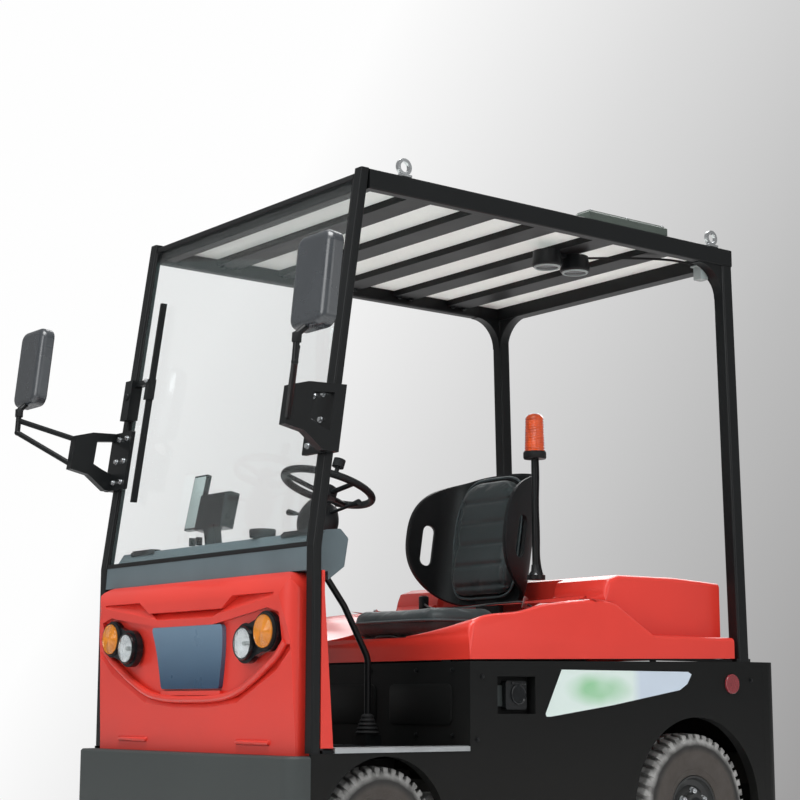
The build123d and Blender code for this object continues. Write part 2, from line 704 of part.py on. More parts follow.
with BuildPart() as steering_column:
    add(bar(tuple(column_foot + column_dir * 20), tuple(column_top), column_r))
    with BuildSketch(Plane(origin=column_foot)):
        RectangleRounded(150, 120, 12)
    extrude(amount=12)
    add(bar(tuple(column_foot + Vector(0, 0, 6) + column_dir * 0), tuple(column_foot + column_dir * 120), 38))
    with BuildSketch(Plane(origin=column_top - column_dir * 120, z_dir=column_dir)):
        Circle(44)
    with BuildSketch(Plane(origin=column_top - column_dir * 60, z_dir=column_dir)):
        Circle(66)
    with BuildSketch(Plane(origin=column_top, z_dir=column_dir)):
        Circle(46)
    loft()
    # bore for the steering shaft
    with BuildSketch(Plane(origin=column_top - column_dir * 150, z_dir=column_dir)):
        Circle(shaft_r + running_fit)
    extrude(amount=160, mode=Mode.SUBTRACT)
    # keep everything above the floor
    block(column_foot_x - 200, column_foot_x + 200, -200, 200, floor_z - 200, floor_z + seat_gap, Mode.SUBTRACT)
save(steering_column.part, "steering_column")

ring_plane = Plane(origin=wheel_centre, z_dir=column_dir)
knob_turn = radians(62)
with BuildPart() as steering_wheel:
    with BuildSketch(Plane(origin=wheel_centre, x_dir=ring_plane.x_dir, z_dir=ring_plane.y_dir)):
        with Locations((wheel_ring_r, 0)):
            RegularPolygon(wheel_grip_r, 16)
    revolve(axis=Axis(wheel_centre, column_dir))
    with BuildSketch(ring_plane.offset(-34)):
        Circle(34)
    extrude(amount=24)
    with BuildSketch(ring_plane.offset(-145)):
        Circle(shaft_r)
    extrude(amount=112)
    for turn in (90, 210, 330):
        rim_point = ring_plane.from_local_coords(Vector(wheel_ring_r * cos(radians(turn)), wheel_ring_r * sin(radians(turn)), 0))
        hub_point = ring_plane.from_local_coords(Vector(20 * cos(radians(turn)), 20 * sin(radians(turn)), -22))
        add(bar(tuple(hub_point), tuple(rim_point), 8))
    # spinner knob, standing on the far-left part of the ring
    knob = ring_plane.from_local_coords(Vector(wheel_ring_r * cos(knob_turn), wheel_ring_r * sin(knob_turn), 0))
    add(bar(tuple(knob - column_dir * 4), tuple(knob + column_dir * 30), 7))
    add(bar(tuple(knob + column_dir * 26), tuple(knob + column_dir * 52), 19))
save(steering_wheel.part, "steering_wheel")

# Pedals and the parking lever

with BuildPart() as pedal:
    with Locations(Location((800, -250, floor_z + 72), (0, 52, 0))):
        Box(150, 74, 10)
    block(806, kick_x - seat_gap, -262, -238, floor_z + 58, floor_z + 76)
with BuildPart() as brake_pedal:
    with Locations(Location((800, -130, floor_z + 120), (0, 60, 0))):
        Box(80, 96, 10)
    block(796, kick_x - seat_gap, -142, -118, floor_z + 108, floor_z + 128)
lever_y = 190.0
lever_foot = (440.0, lever_y, mat_top_z + seat_gap)
with BuildPart() as parking_lever:
    with BuildLine():
        FilletPolyline(lever_foot, (440, lever_y, 700), (531, lever_y, 855), (625, lever_y, 972),
                       (690, lever_y, 1000), radius=60)
    with BuildSketch(Plane(origin=lever_foot)):
        Circle(10)
    sweep()
    block(lever_foot[0] - 30, lever_foot[0] + 30, lever_y - 30, lever_y + 30, lever_foot[2], floor_z + 34)
    add(bar((645, lever_y, 980.6), (716, lever_y, 1011.2), 15))
with BuildPart() as driver_controls:
    add(pedal.part)
    add(brake_pedal.part)
    add(parking_lever.part)
save(driver_controls.part, "driver_controls")

# Roof fittings: lifting eyes, the flat box on the left rail and two lamps under the slats

eye_xs = (610.0, -725.0)
eye_r = 26.0
eye_hole_r = 16.0
eye_t = 12.0
with BuildPart() as eyes_left:
    for x in eye_xs:
        with BuildSketch(Plane.XZ.offset(-(pillar_mid_y - eye_t / 2))):
            with Locations((x, guard_top_z + seat_gap + 8 + eye_r - 2)):
                Circle(eye_r)
            with Locations((x, guard_top_z + seat_gap + 4)):
                Rectangle(38, 8)
            with Locations((x, guard_top_z + seat_gap + 8 + eye_r - 2)):
                Circle(eye_hole_r, mode=Mode.SUBTRACT)
        extrude(amount=-eye_t)
        block(x - 19, x + 19, pillar_mid_y - 16, pillar_mid_y + 16, guard_top_z + seat_gap, guard_top_z + 7)
save(both_sides(eyes_left.part), "lifting_eyes")

with BuildPart() as roof_box:
    block(-497, -139, body_half - 76, body_half - 4, guard_top_z + seat_gap, guard_top_z + 30)
    chamfer(roof_box.edges().group_by(Axis.Z)[-1], 6)
save(roof_box.part, "roof_box")

lamp_slat_x = rail_back_x + 2 * slat_pitch
with BuildPart() as roof_lamps:
    for x in (lamp_slat_x - 64, lamp_slat_x + 64):
        with BuildSketch(Plane(origin=(x, 300, slat_top_z - slat_h - seat_gap), z_dir=(0, 0, -1))):
            Circle(46)
        extrude(amount=54, taper=-6)
        fillet(roof_lamps.edges().group_by(Axis.Z)[0], 8)
    block(lamp_slat_x - 64, lamp_slat_x + 64, 290, 310, slat_top_z - slat_h - 12, slat_top_z - slat_h - seat_gap)
save(roof_lamps.part, "roof_lamps")

# Tow hitch: back plate, two jaw plates and the drop pin

hitch_back_x = body_rear_x - seat_gap
hitch_face_x = hitch_back_x - 16
hitch_eye_x = body_rear_x - hitch_reach + hitch_w / 2
jaw_low_z = hitch_z - hitch_gap / 2 - hitch_plate
jaw_top_z = hitch_z + hitch_gap / 2
with BuildPart() as tow_hitch:
    block(hitch_face_x, hitch_back_x, -110, 110, hitch_z - 110, hitch_z + 110)
    for z in (jaw_low_z, jaw_top_z):
        with BuildSketch(Plane.XY.offset(z)):
            with Locations(((hitch_face_x + hitch_eye_x) / 2, 0)):
                Rectangle(hitch_face_x - hitch_eye_x, hitch_w)
            with Locations((hitch_eye_x, 0)):
                Circle(hitch_w / 2)
                Circle(pin_r + 1, mode=Mode.SUBTRACT)
        extrude(amount=hitch_plate)
    for side in (1, -1):
        block(hitch_eye_x + 20, hitch_face_x, side * 46, side * 60, jaw_low_z, jaw_top_z)
        block(hitch_eye_x + 40, hitch_face_x, side * 4, side * 16, jaw_top_z, hitch_z + 90)
save(tow_hitch.part, "tow_hitch")

with BuildPart() as tow_pin:
    with BuildSketch(Plane(origin=(hitch_eye_x, 0, jaw_low_z + 2))):
        Circle(pin_r)
    extrude(amount=jaw_top_z + hitch_plate + 14 - jaw_low_z)
    with BuildSketch(Plane(origin=(hitch_eye_x, 0, jaw_top_z + hitch_plate + seat_gap))):
        Circle(pin_r + 9)
    extrude(amount=10)
    with BuildLine():
        pin_head = (hitch_eye_x, 0, jaw_top_z + hitch_plate + 12)
        FilletPolyline(pin_head, (hitch_eye_x, 0, pin_head[2] + 50), (hitch_eye_x, 44, pin_head[2] + 50),
                       (hitch_eye_x, 44, pin_head[2] + 16), radius=16)
    with BuildSketch(Plane(origin=pin_head)):
        Circle(5)
    sweep()
save(tow_pin.part, "tow_pin")

# Rear lamps and side reflectors

with BuildPart() as rear_lamp:
    with BuildSketch(Plane.YZ.offset(body_rear_x - seat_gap)):
        with Locations((470, 610)):
            RectangleRounded(70, 130, 12)
    extrude(amount=-26)
    fillet(rear_lamp.faces().sort_by(Axis.X)[0].edges(), 5)
save(both_sides(rear_lamp.part), "rear_lamps")

with BuildPart() as reflector:
    with BuildSketch(Plane.XZ.offset(-(body_half + seat_gap))):
        with Locations((-746, 627)):
            Circle(32)
    extrude(amount=-7)
    fillet(reflector.faces().sort_by(Axis.Y)[-1].edges(), 3)
save(both_sides(reflector.part), "side_reflectors")

with BuildPart() as charge_socket:
    block(recess_x - 52, recess_x + 30, body_half - sheet - 29 + seat_gap, body_half - sheet - 6,
          recess_z - 42, recess_z + 42)
    fillet(charge_socket.edges().filter_by(Axis.Y), 8)
save(both_sides(charge_socket.part), "service_covers")

# Front axle: beam with a kingpin eye at each end, carried on pads under the rails

axle_z = front_tyre_r
beam_h = 56.0
eye_h = 84.0
eye_outer_r = 32.0
with BuildPart() as front_axle:
    block(front_axle_x - 40, front_axle_x + 40, -kingpin_y + 20, kingpin_y - 20, axle_z - beam_h / 2, axle_z + beam_h / 2)
    for side in (1, -1):
        with BuildSketch(Plane(origin=(front_axle_x, side * kingpin_y, axle_z - eye_h / 2))):
            Circle(eye_outer_r)
        extrude(amount=eye_h)
        block(front_axle_x - 45, front_axle_x + 45, side * (rail_y - 30), side * (rail_y + 30),
              axle_z + beam_h / 2, rail_z - seat_gap)
        with BuildSketch(Plane(origin=(front_axle_x, side * kingpin_y, 0))):
            Circle(kingpin_r + running_fit)
        extrude(amount=2 * axle_z + 200, mode=Mode.SUBTRACT)
save(front_axle.part, "front_axle")

# Knuckles: a yoke round the axle eye, the kingpin, the spindle and the steering arm

yoke_gap = 5.0
yoke_t = 18.0
hub_face_y = front_wheel_y - 34
spindle_end_y = front_wheel_y + 24
arm_z = axle_z - 20


def knuckle_on_left():
    eye_low = axle_z - eye_h / 2
    eye_high = axle_z + eye_h / 2
    yoke_y = kingpin_y + eye_outer_r + yoke_gap
    with BuildPart() as knuckle:
        for z in (eye_low - 1 - yoke_t, eye_high + 1):
            with BuildSketch(Plane.XY.offset(z)):
                with Locations((front_axle_x, kingpin_y)):
                    Circle(28)
                with Locations((front_axle_x, (kingpin_y + yoke_y + 10) / 2)):
                    Rectangle(56, yoke_y + 10 - kingpin_y)
            extrude(amount=yoke_t)
        block(front_axle_x - 28, front_axle_x + 28, yoke_y, yoke_y + 16, eye_low - 1 - yoke_t, eye_high + 1 + yoke_t)
        with BuildSketch(Plane(origin=(front_axle_x, kingpin_y, eye_low - 1 - yoke_t))):
            Circle(kingpin_r)
        extrude(amount=eye_h + 2 + 2 * yoke_t)
        with BuildSketch(Plane.XZ.offset(-(yoke_y + 10))):
            with Locations((front_axle_x, axle_z)):
                Circle(spindle_r)
        extrude(amount=-(spindle_end_y - yoke_y - 10))
        # steering arm, reaching back below the beam
        block(front_axle_x - steer_arm, front_axle_x - 20, kingpin_y - 12, kingpin_y + 12,
              eye_low - 1 - yoke_t, eye_low - 1)
        with BuildSketch(Plane(origin=(front_axle_x - steer_arm, kingpin_y, eye_low - 1 - yoke_t))):
            Circle(18)
        extrude(amount=yoke_t)
    return knuckle.part


with BuildPart() as knuckle_left:
    add(knuckle_on_left())
save(knuckle_left.part, "knuckle_left")
with BuildPart() as knuckle_right:
    mirror(knuckle_left.part, about=Plane.XZ)
save(knuckle_right.part, "knuckle_right")

tie_top_z = axle_z - eye_h / 2 - 1 - yoke_t - seat_gap
with BuildPart() as tie_rod:
    add(bar((front_axle_x - steer_arm, -kingpin_y + 10, tie_top_z - 11), (front_axle_x - steer_arm, kingpin_y - 10, tie_top_z - 11), 10))
    for side in (1, -1):
        with BuildSketch(Plane(origin=(front_axle_x - steer_arm, side * kingpin_y, tie_top_z - 22))):
            Circle(17)
        extrude(amount=22)
save(tie_rod.part, "tie_rod")

# Rear drive axle: differential housing, axle tubes, motor and shafts

with BuildPart() as rear_axle:
    add(bar((rear_axle_x, -rear_wheel_y + 60, rear_tyre_r), (rear_axle_x, rear_wheel_y - 60, rear_tyre_r), 50))
    add(bar((rear_axle_x, -90, rear_tyre_r), (rear_axle_x, 90, rear_tyre_r), 104))
    add(bar((rear_axle_x + 20, 40, rear_tyre_r + 10), (rear_axle_x + 277, 40, rear_tyre_r + 10), 92))
    add(bar((rear_axle_x, -rear_wheel_y - 24, rear_tyre_r), (rear_axle_x, rear_wheel_y + 24, rear_tyre_r), rear_shaft_r))
    for side in (1, -1):
        block(rear_axle_x - 60, rear_axle_x + 60, side * (rail_y - 30), side * (rail_y + 30), rear_tyre_r + 30, rail_z - seat_gap)
save(rear_axle.part, "rear_axle")

# Wheels: tyre with a rounded crown and a dished rim that runs on the spindle


def tyre_ring(x, y, r, width):
    """A tyre revolved about its own axle line."""
    half = width / 2
    crown = r - 14
    with BuildPart() as tyre:
        with BuildSketch(Plane.XY.offset(0)):
            with BuildLine():
                Polyline((half - 14, rim_r + seat_gap), (half - 4, rim_r + 18), (half, rim_r + 40))
                ThreePointArc((half, rim_r + 40), (half - 2, crown - 14), (half - 12, r - 6))
                Polyline((half - 12, r - 6), (half - 22, r), (-half + 22, r), (-half + 12, r - 6))
                ThreePointArc((-half + 12, r - 6), (-half + 2, crown - 14), (-half, rim_r + 40))
                Polyline((-half, rim_r + 40), (-half + 4, rim_r + 18), (-half + 14, rim_r + seat_gap),
                         (half - 14, rim_r + seat_gap))
            make_face()
            for groove in (-0.22, 0.22):
                with Locations((groove * width, r)):
                    Rectangle(9, 14, mode=Mode.SUBTRACT)
        revolve(axis=Axis.X)
    return Pos(x, y, r) * Rot(0, 0, 90) * tyre.part


def rim_disc(x, y, r, width, bore, side):
    """A dished rim revolved about its own axle line, with its face outwards."""
    half = width / 2
    face = half - 26
    with BuildPart() as rim:
        with BuildSketch(Plane.XY):
            with BuildLine():
                Polyline((half - 18, rim_r), (half - 14, rim_r - 6), (half - 22, rim_r - 12), (face + 2, rim_r - 14),
                         (face - 2, rim_r - 30), (face + 8, 58), (face + 8, 46), (face + 24, 44), (face + 24, 0),
                         (face - 4, 0), (face - 4, bore), (-22, bore), (-22, 44), (face - 8, 52), (face - 12, rim_r - 32),
                         (face - 12, rim_r - 14), (-half + 22, rim_r - 12), (-half + 14, rim_r - 6), (-half + 18, rim_r),
                         close=True)
            make_face()
        revolve(axis=Axis.X)
    return Pos(x, y, r) * Rot(0, 0, 90 * side) * rim.part


wheels = (("front_left", front_axle_x, front_wheel_y, front_tyre_r, front_tyre_w, spindle_r, 1),
          ("front_right", front_axle_x, -front_wheel_y, front_tyre_r, front_tyre_w, spindle_r, -1),
          ("rear_left", rear_axle_x, rear_wheel_y, rear_tyre_r, rear_tyre_w, rear_shaft_r, 1),
          ("rear_right", rear_axle_x, -rear_wheel_y, rear_tyre_r, rear_tyre_w, rear_shaft_r, -1))
for name, x, y, r, width, shaft, side in wheels:
    save(tyre_ring(x, y, r, width), f"tyre_{name}")
    save(rim_disc(x, y, r, width, shaft + running_fit, side), f"rim_{name}")

# Hood: one red moulding that carries the seat and tips back about its rear hinge


def hood_solid(inset):
    """Outer form of the hood with every outer face moved in by inset, open below."""
    drop = 3 * inset
    half = body_half - inset
    with BuildPart() as form:
        with BuildSketch(Plane.XZ):
            with BuildLine():
                front = hood_front_x - inset
                rear = hood_rear_x + inset
                edge = Line((front, hood_low_front_z - drop), (front, 772 - inset))
                crest = Spline((front, 772 - inset), (352, 808 - inset), (178, 838 - inset), (18, 871 - inset),
                               (-150, 884 - inset), (-216, 878 - inset), tangents=((0, 1), (-0.9, -0.4)))
                Polyline(crest @ 1, (-395, shoulder_low_z - inset), (rear, shoulder_low_z - inset),
                         (rear, hood_low_rear_z - drop), edge @ 0)
            make_face()
        extrude(amount=half, both=True)
        # the raised part over the motor, with a rounded front on each side of the seat
        with BuildSketch(Plane.XZ):
            with BuildLine():
                Polyline((bulge_front_x - inset, hood_deck_z - drop), (bulge_front_x - inset, 915 - inset),
                         (-128 - inset, 952 - inset), (-300, bulge_top_z - 2 - inset), (-560, bulge_top_z - inset),
                         (rear, bulge_top_z - 10 - inset), (rear, hood_deck_z - drop), close=True)
            bulge = make_face()
            fillet(bulge.vertices().group_by(Axis.Y)[1], 46 - inset)
            fillet(bulge.vertices().filter_by(lambda v: v.X < rear + 1 and v.Y > hood_deck_z + 20), 44 - inset)
            fillet(bulge.vertices().filter_by(lambda v: -140 - inset < v.X < -110 and v.Y > 940 - inset), 90)
        extrude(amount=bulge_half - inset, both=True)
        # valley for the seat
        with BuildSketch(Plane.XY.offset(hood_deck_z - inset)):
            with Locations(((hood_front_x + 200 + valley_rear_x - inset) / 2, 0)):
                RectangleRounded(hood_front_x + 200 - valley_rear_x + inset, 2 * (valley_half + inset), 40)
        extrude(amount=400, mode=Mode.SUBTRACT)
    return form.part


hinge_y = 250.0
lug_t = 8.0
lug_r = 14.0
bracket_half = 6.0
with BuildPart() as hood:
    add(hood_solid(0))
    add(hood_solid(hood_sheet), mode=Mode.SUBTRACT)
    # hinge lugs on the inside of the rear wall, and the notches for the brackets
    for side in (1, -1):
        block(hood_rear_x - 1, hinge_x + 24, side * hinge_y - 16, side * hinge_y + 16, 0, hinge_z - 24, Mode.SUBTRACT)
        block(hood_rear_x - 1, hood_rear_x + hood_sheet + 1, side * hinge_y - bracket_half - 1,
              side * hinge_y + bracket_half + 1, hinge_z - 30, hinge_z + lug_r, Mode.SUBTRACT)
        for y in (side * hinge_y - bracket_half - 1 - lug_t, side * hinge_y + bracket_half + 1):
            with BuildSketch(Plane.XZ.offset(-y)):
                with Locations((hinge_x, hinge_z)):
                    Circle(lug_r)
                with Locations(((hinge_x + hood_rear_x + hood_sheet) / 2 - 1, hinge_z)):
                    Rectangle(hinge_x - hood_rear_x - hood_sheet + 2, 2 * lug_r)
            extrude(amount=-lug_t)
    with BuildSketch(Plane.XZ.offset(hinge_y + 40)):
        with Locations((hinge_x, hinge_z)):
            Circle(hinge_pin_r + running_fit)
    extrude(amount=-2 * (hinge_y + 40), mode=Mode.SUBTRACT)
save(hood.part, "hood")

# Hinge brackets on the edge of the tail deck, each with its pin

with BuildPart() as hood_hinge:
    block(deck_front_x - 40, hinge_x + 10, hinge_y - 30, hinge_y + 30, body_top_z - sheet - seat_gap - 10,
          body_top_z - sheet - seat_gap)
    block(hinge_x - 10, hinge_x + 10, hinge_y - bracket_half, hinge_y + bracket_half, body_top_z - sheet - 4, hinge_z)
    with BuildSketch(Plane.XZ.offset(-(hinge_y - bracket_half))):
        with Locations((hinge_x, hinge_z)):
            Circle(12)
    extrude(amount=-2 * bracket_half)
    add(bar((hinge_x, hinge_y - 18, hinge_z), (hinge_x, hinge_y + 18, hinge_z), hinge_pin_r))
save(both_sides(hood_hinge.part), "hood_hinges")

# Seat: pan, cushion, and a back that bends round the driver, with a hip guard on each side

seat_front_x = 228.0
seat_rear_x = -96.0
seat_low_z = 776.0
seat_top_z = 868.0
seat_half = 245.0
back_low_z = 884.0
back_h = 436.0
back_foot_x = -180.0      # rear face of the shell at its lower edge
back_lean = 9.0
shell_r = 330.0           # how tightly the shell bends round the driver
shell_t = 26.0
pad_t = 60.0
shell_half_outline = ((0, 0), (150, 0), (205, 58), (242, 122), (256, 190), (250, 236), (216, 330), (166, 404),
                      (96, 436), (0, 436))
pad_half_outline = ((0, 12), (150, 12), (162, 60), (166, 200), (160, 330), (140, 396), (90, 424), (0, 424))


def curved_layer(inner_r, outer_r, half_outline):
    """One layer of the seat back, bent in plan and cut to an outline, leaning back on its foot."""
    left = [(y, z) for y, z in half_outline]
    right = [(-y, z) for y, z in reversed(half_outline[1:-1])]
    with BuildPart() as layer:
        with BuildSketch(Plane.XY):
            with Locations((shell_r + shell_t, 0)):
                Circle(outer_r)
                Circle(inner_r, mode=Mode.SUBTRACT)
            with Locations((2 * shell_r + shell_t, 0)):
                Rectangle(2 * shell_r, 4 * shell_r, mode=Mode.SUBTRACT)
        extrude(amount=back_h)
        with BuildSketch(Plane.YZ.offset(-shell_r)):
            with BuildLine():
                Polyline(*left, *right, close=True)
            outline = make_face()
            fillet(outline.vertices().filter_by(lambda v: abs(v.X) > 1), 22)
        extrude(amount=2 * shell_r, mode=Mode.INTERSECT)
    return Pos(back_foot_x, 0, back_low_z) * Rot(0, -back_lean, 0) * layer.part


with BuildPart() as seat_cushion:
    block(seat_rear_x, seat_front_x, -seat_half, seat_half, seat_low_z, seat_top_z)
    fillet(seat_cushion.edges().filter_by(Axis.Z), 50)
    fillet(seat_cushion.faces().sort_by(Axis.Z)[-1].edges(), 26)
save(seat_cushion.part, "seat_cushion")

with BuildPart() as seat_back:
    add(curved_layer(shell_r - seat_gap - pad_t, shell_r - seat_gap, pad_half_outline))
save(seat_back.part, "seat_back")

with BuildPart() as seat_frame:
    add(curved_layer(shell_r, shell_r + shell_t, shell_half_outline))
    for side in (1, -1):
        with BuildSketch(Plane.YZ.offset(back_foot_x - 80)):
            with Locations((side * 214, back_low_z + 196)):
                SlotOverall(150, 50, rotation=90)
        extrude(amount=300, mode=Mode.SUBTRACT)
    block(seat_rear_x - 110, seat_front_x - 30, -190, 190, hood_deck_z + seat_gap, seat_low_z - seat_gap)
    block(seat_rear_x - 110, back_foot_x + 8, -60, 60, seat_low_z - seat_gap, back_low_z + 100)
save(seat_frame.part, "seat_frame")

# Beacon on its pole

beacon_x = -132.0
beacon_y = 330.0
beacon_base_z = 956.0
beacon_top_z = 1497.0
lens_low_z = 1372.0
with BuildPart() as beacon_pole:
    with BuildSketch(Plane(origin=(beacon_x, beacon_y, beacon_base_z))):
        Circle(30)
    extrude(amount=14)
    with BuildSketch(Plane(origin=(beacon_x, beacon_y, beacon_base_z))):
        Circle(12)
    extrude(amount=lens_low_z - 24 - beacon_base_z)
    with BuildSketch(Plane(origin=(beacon_x, beacon_y, lens_low_z - 24))):
        Circle(36)
    extrude(amount=24 - seat_gap)
save(beacon_pole.part, "beacon_pole")

with BuildPart() as beacon_lens:
    with BuildSketch(Plane(origin=(beacon_x, beacon_y, lens_low_z))):
        Circle(33)
    extrude(amount=beacon_top_z - lens_low_z, taper=1.5)
    fillet(beacon_lens.edges().group_by(Axis.Z)[-1], 12)
save(beacon_lens.part, "beacon_lens")
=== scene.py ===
"""Airport baggage tug: the looks, laid over the fixed frame of its solids."""

from math import atan2, cos, exp, pi, radians, sin

import bpy
from mathutils import Matrix, Vector


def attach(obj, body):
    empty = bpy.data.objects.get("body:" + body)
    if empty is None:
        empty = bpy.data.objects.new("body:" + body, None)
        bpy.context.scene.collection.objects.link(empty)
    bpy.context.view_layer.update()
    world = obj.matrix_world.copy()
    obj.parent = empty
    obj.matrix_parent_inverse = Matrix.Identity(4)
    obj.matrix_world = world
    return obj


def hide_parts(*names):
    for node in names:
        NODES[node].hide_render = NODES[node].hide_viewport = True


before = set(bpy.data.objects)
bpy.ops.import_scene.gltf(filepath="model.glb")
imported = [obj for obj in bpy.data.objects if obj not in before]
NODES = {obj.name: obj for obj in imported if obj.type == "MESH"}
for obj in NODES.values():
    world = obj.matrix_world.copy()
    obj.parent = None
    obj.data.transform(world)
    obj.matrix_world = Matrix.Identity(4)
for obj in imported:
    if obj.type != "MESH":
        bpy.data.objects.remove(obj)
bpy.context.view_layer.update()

bl_info = {
    "name": "Airport Baggage Tug",
    "version": (1, 0, 0),
    "blender": (4, 5, 0),
    "location": "3D View > Sidebar > Baggage Tug",
    "description": "Dresses an electric baggage tow tractor with its finishes, seat, tyres and fittings",
    "category": "Add Mesh",
}

MM = 0.001
MIRROR = Matrix.Diagonal((1, -1, 1, 1))

# Places taken from the solids, in millimetres
FRONT_AXLE = (686, 530, 195)
REAR_AXLE = (-577, 526, 235)
RIM_R = 101
PILLAR_FRONT_X = 938
PILLAR_BEND_Z = 991
PILLAR_LEAN = atan2(938 - 780, 2100 - 991)
COLUMN_LEAN = atan2(735 - 458, 1242 - 435)

# The hood, in millimetres: its deck, its half-width, and how its raised part is moved back and widened
DECK_Z = 764
HOOD_HALF = 600
RAISED_KEPT_X = -300
RAISED_PULL = 0.28
RAISED_WIDEN = 1.08

# The seat's shell, in millimetres: its flat middle, the bend of its wings, its lean and its foot
SHELL_FLAT = 136
SHELL_BEND = 104
SHELL_TURN = radians(75)
SHELL_LEAN = radians(9)
SHELL_X, SHELL_Z = -216, 884

# Width in metres of one rib of a wave texture of scale 1
RIB_AT_SCALE_1 = 0.157


# Colour and node helpers

def linear(code):
    """A hex sRGB colour as linear red, green and blue."""
    parts = [int(code[i:i + 2], 16) / 255 for i in (1, 3, 5)]
    return [p / 12.92 if p <= 0.04045 else ((p + 0.055) / 1.055) ** 2.4 for p in parts]


def rgba(colour, factor=1.0):
    """A linear colour with full alpha, lightened or darkened by a factor."""
    return [min(1.0, c * factor) for c in colour[:3]] + [1.0]


def add_node(tree, kind, inputs=None, **settings):
    """Adds a node, sets its settings, then fills its inputs with numbers or links."""
    node = tree.nodes.new(kind)
    for key, value in settings.items():
        setattr(node, key, value)
    for key, value in (inputs or {}).items():
        if isinstance(value, bpy.types.NodeSocket):
            tree.links.new(value, node.inputs[key])
        else:
            node.inputs[key].default_value = value
    return node


def new_material(name):
    """An empty material with its node tree and the object's own coordinates."""
    material = bpy.data.materials.new(name)
    material.use_nodes = True
    material.node_tree.nodes.clear()
    tree = material.node_tree
    return material, tree, add_node(tree, "ShaderNodeTexCoord").outputs["Object"]


def mixed(tree, factor, first, second):
    """The colour between two others, by a factor."""
    return add_node(tree, "ShaderNodeMix", {0: factor, 6: first, 7: second}, data_type="RGBA").outputs[2]


def ranged(tree, value, low, high, to_low, to_high):
    """A value moved from one range to another."""
    return add_node(tree, "ShaderNodeMapRange", {0: value, 1: low, 2: high, 3: to_low, 4: to_high}).outputs[0]


def along(tree, place, axis):
    """One of the three coordinates of a place."""
    return add_node(tree, "ShaderNodeSeparateXYZ", {0: place}).outputs[axis]


def noise(tree, place, scale, detail):
    """The height of a cloudy pattern."""
    inputs = {"Vector": place, "Scale": scale, "Detail": detail}
    return add_node(tree, "ShaderNodeTexNoise", inputs).outputs["Fac"]


def ribbed(tree, place, width_mm, way):
    """Parallel ribs of one width, side by side along an axis."""
    inputs = {"Vector": place, "Scale": RIB_AT_SCALE_1 / (width_mm * MM)}
    return add_node(tree, "ShaderNodeTexWave", inputs, bands_direction=way)


def relief(tree, height, strength, depth_mm):
    """A bump from a height pattern."""
    return add_node(tree, "ShaderNodeBump", {"Height": height, "Strength": strength,
                                             "Distance": depth_mm * MM}).outputs[0]


def shaded(tree, **inputs):
    """The main shader and the surface output. Names use _ where the socket has a space."""
    spaced = {key.replace("_", " "): value for key, value in inputs.items()}
    shader = add_node(tree, "ShaderNodeBsdfPrincipled", spaced)
    add_node(tree, "ShaderNodeOutputMaterial", {"Surface": shader.outputs[0]})


def painted_metal(name, colour, roughness, coat, grit_mm, bump, dust=0.0, shine=0.5):
    """Paint on metal: a slightly uneven tone, orange peel or powder grit, and dust low down."""
    material, tree, place = new_material(name)
    patches = noise(tree, place, 2.2, 5.0)
    grit = add_node(tree, "ShaderNodeTexNoise", {"Vector": place, "Scale": 1 / (grit_mm * MM), "Detail": 2.0})
    tone = mixed(tree, patches, rgba(colour, 0.88), rgba(colour, 1.12))
    low = ranged(tree, along(tree, place, "Z"), 0.12, 0.60, dust, 0.0)
    film = add_node(tree, "ShaderNodeMath", {0: low, 1: patches}, operation="MULTIPLY").outputs[0]
    shaded(tree, Base_Color=mixed(tree, film, tone, rgba(linear("#8A8378"))),
           Roughness=ranged(tree, patches, 0.25, 0.75, roughness - 0.05, roughness + 0.07),
           Normal=relief(tree, grit.outputs["Fac"], bump, 0.2), Coat_Weight=coat, Coat_Roughness=0.10,
           Specular_IOR_Level=shine)
    return material


def moulded(name, colour, roughness, grain_mm, bump, shine=0.3):
    """Moulded plastic or rubber with an etched grain from its tool."""
    material, tree, place = new_material(name)
    cells = add_node(tree, "ShaderNodeTexVoronoi", {"Vector": place, "Scale": 1 / (grain_mm * MM)})
    wear = noise(tree, place, 9.0, 4.0)
    shaded(tree, Base_Color=mixed(tree, wear, rgba(colour, 0.82), rgba(colour, 1.2)),
           Roughness=ranged(tree, wear, 0.3, 0.7, roughness - 0.06, roughness + 0.08),
           Normal=relief(tree, cells.outputs["Distance"], bump, 0.3), Specular_IOR_Level=shine)
    return material


def bare_metal(name, colour, roughness, stretch, bump):
    """Bare metal with fine lines along the way it was brushed, rolled or turned."""
    material, tree, place = new_material(name)
    drawn = add_node(tree, "ShaderNodeMapping", {"Vector": place, "Scale": stretch}).outputs[0]
    lines = noise(tree, drawn, 60.0, 3.0)
    stain = noise(tree, place, 14.0, 4.0)
    shaded(tree, Base_Color=mixed(tree, stain, rgba(colour, 0.8), rgba(colour, 1.15)),
           Roughness=ranged(tree, lines, 0.3, 0.7, roughness - 0.08, roughness + 0.1),
           Normal=relief(tree, lines, bump, 0.1), Metallic=1.0)
    return material


def lens_plastic(name, colour, transmission, rib_mm, way="Z"):
    """Acrylic lens with moulded ribs that spread the light."""
    material, tree, place = new_material(name)
    ribs = ribbed(tree, place, rib_mm, way)
    depth = add_node(tree, "ShaderNodeTexNoise", {"Vector": place, "Scale": 40.0}).outputs["Fac"]
    shaded(tree, Base_Color=mixed(tree, depth, rgba(colour, 0.85), rgba(colour, 1.12)),
           Normal=relief(tree, ribs.outputs["Fac"], 0.5, 0.6), Roughness=0.14,
           Transmission_Weight=transmission, IOR=1.49, Coat_Weight=0.5)
    return material


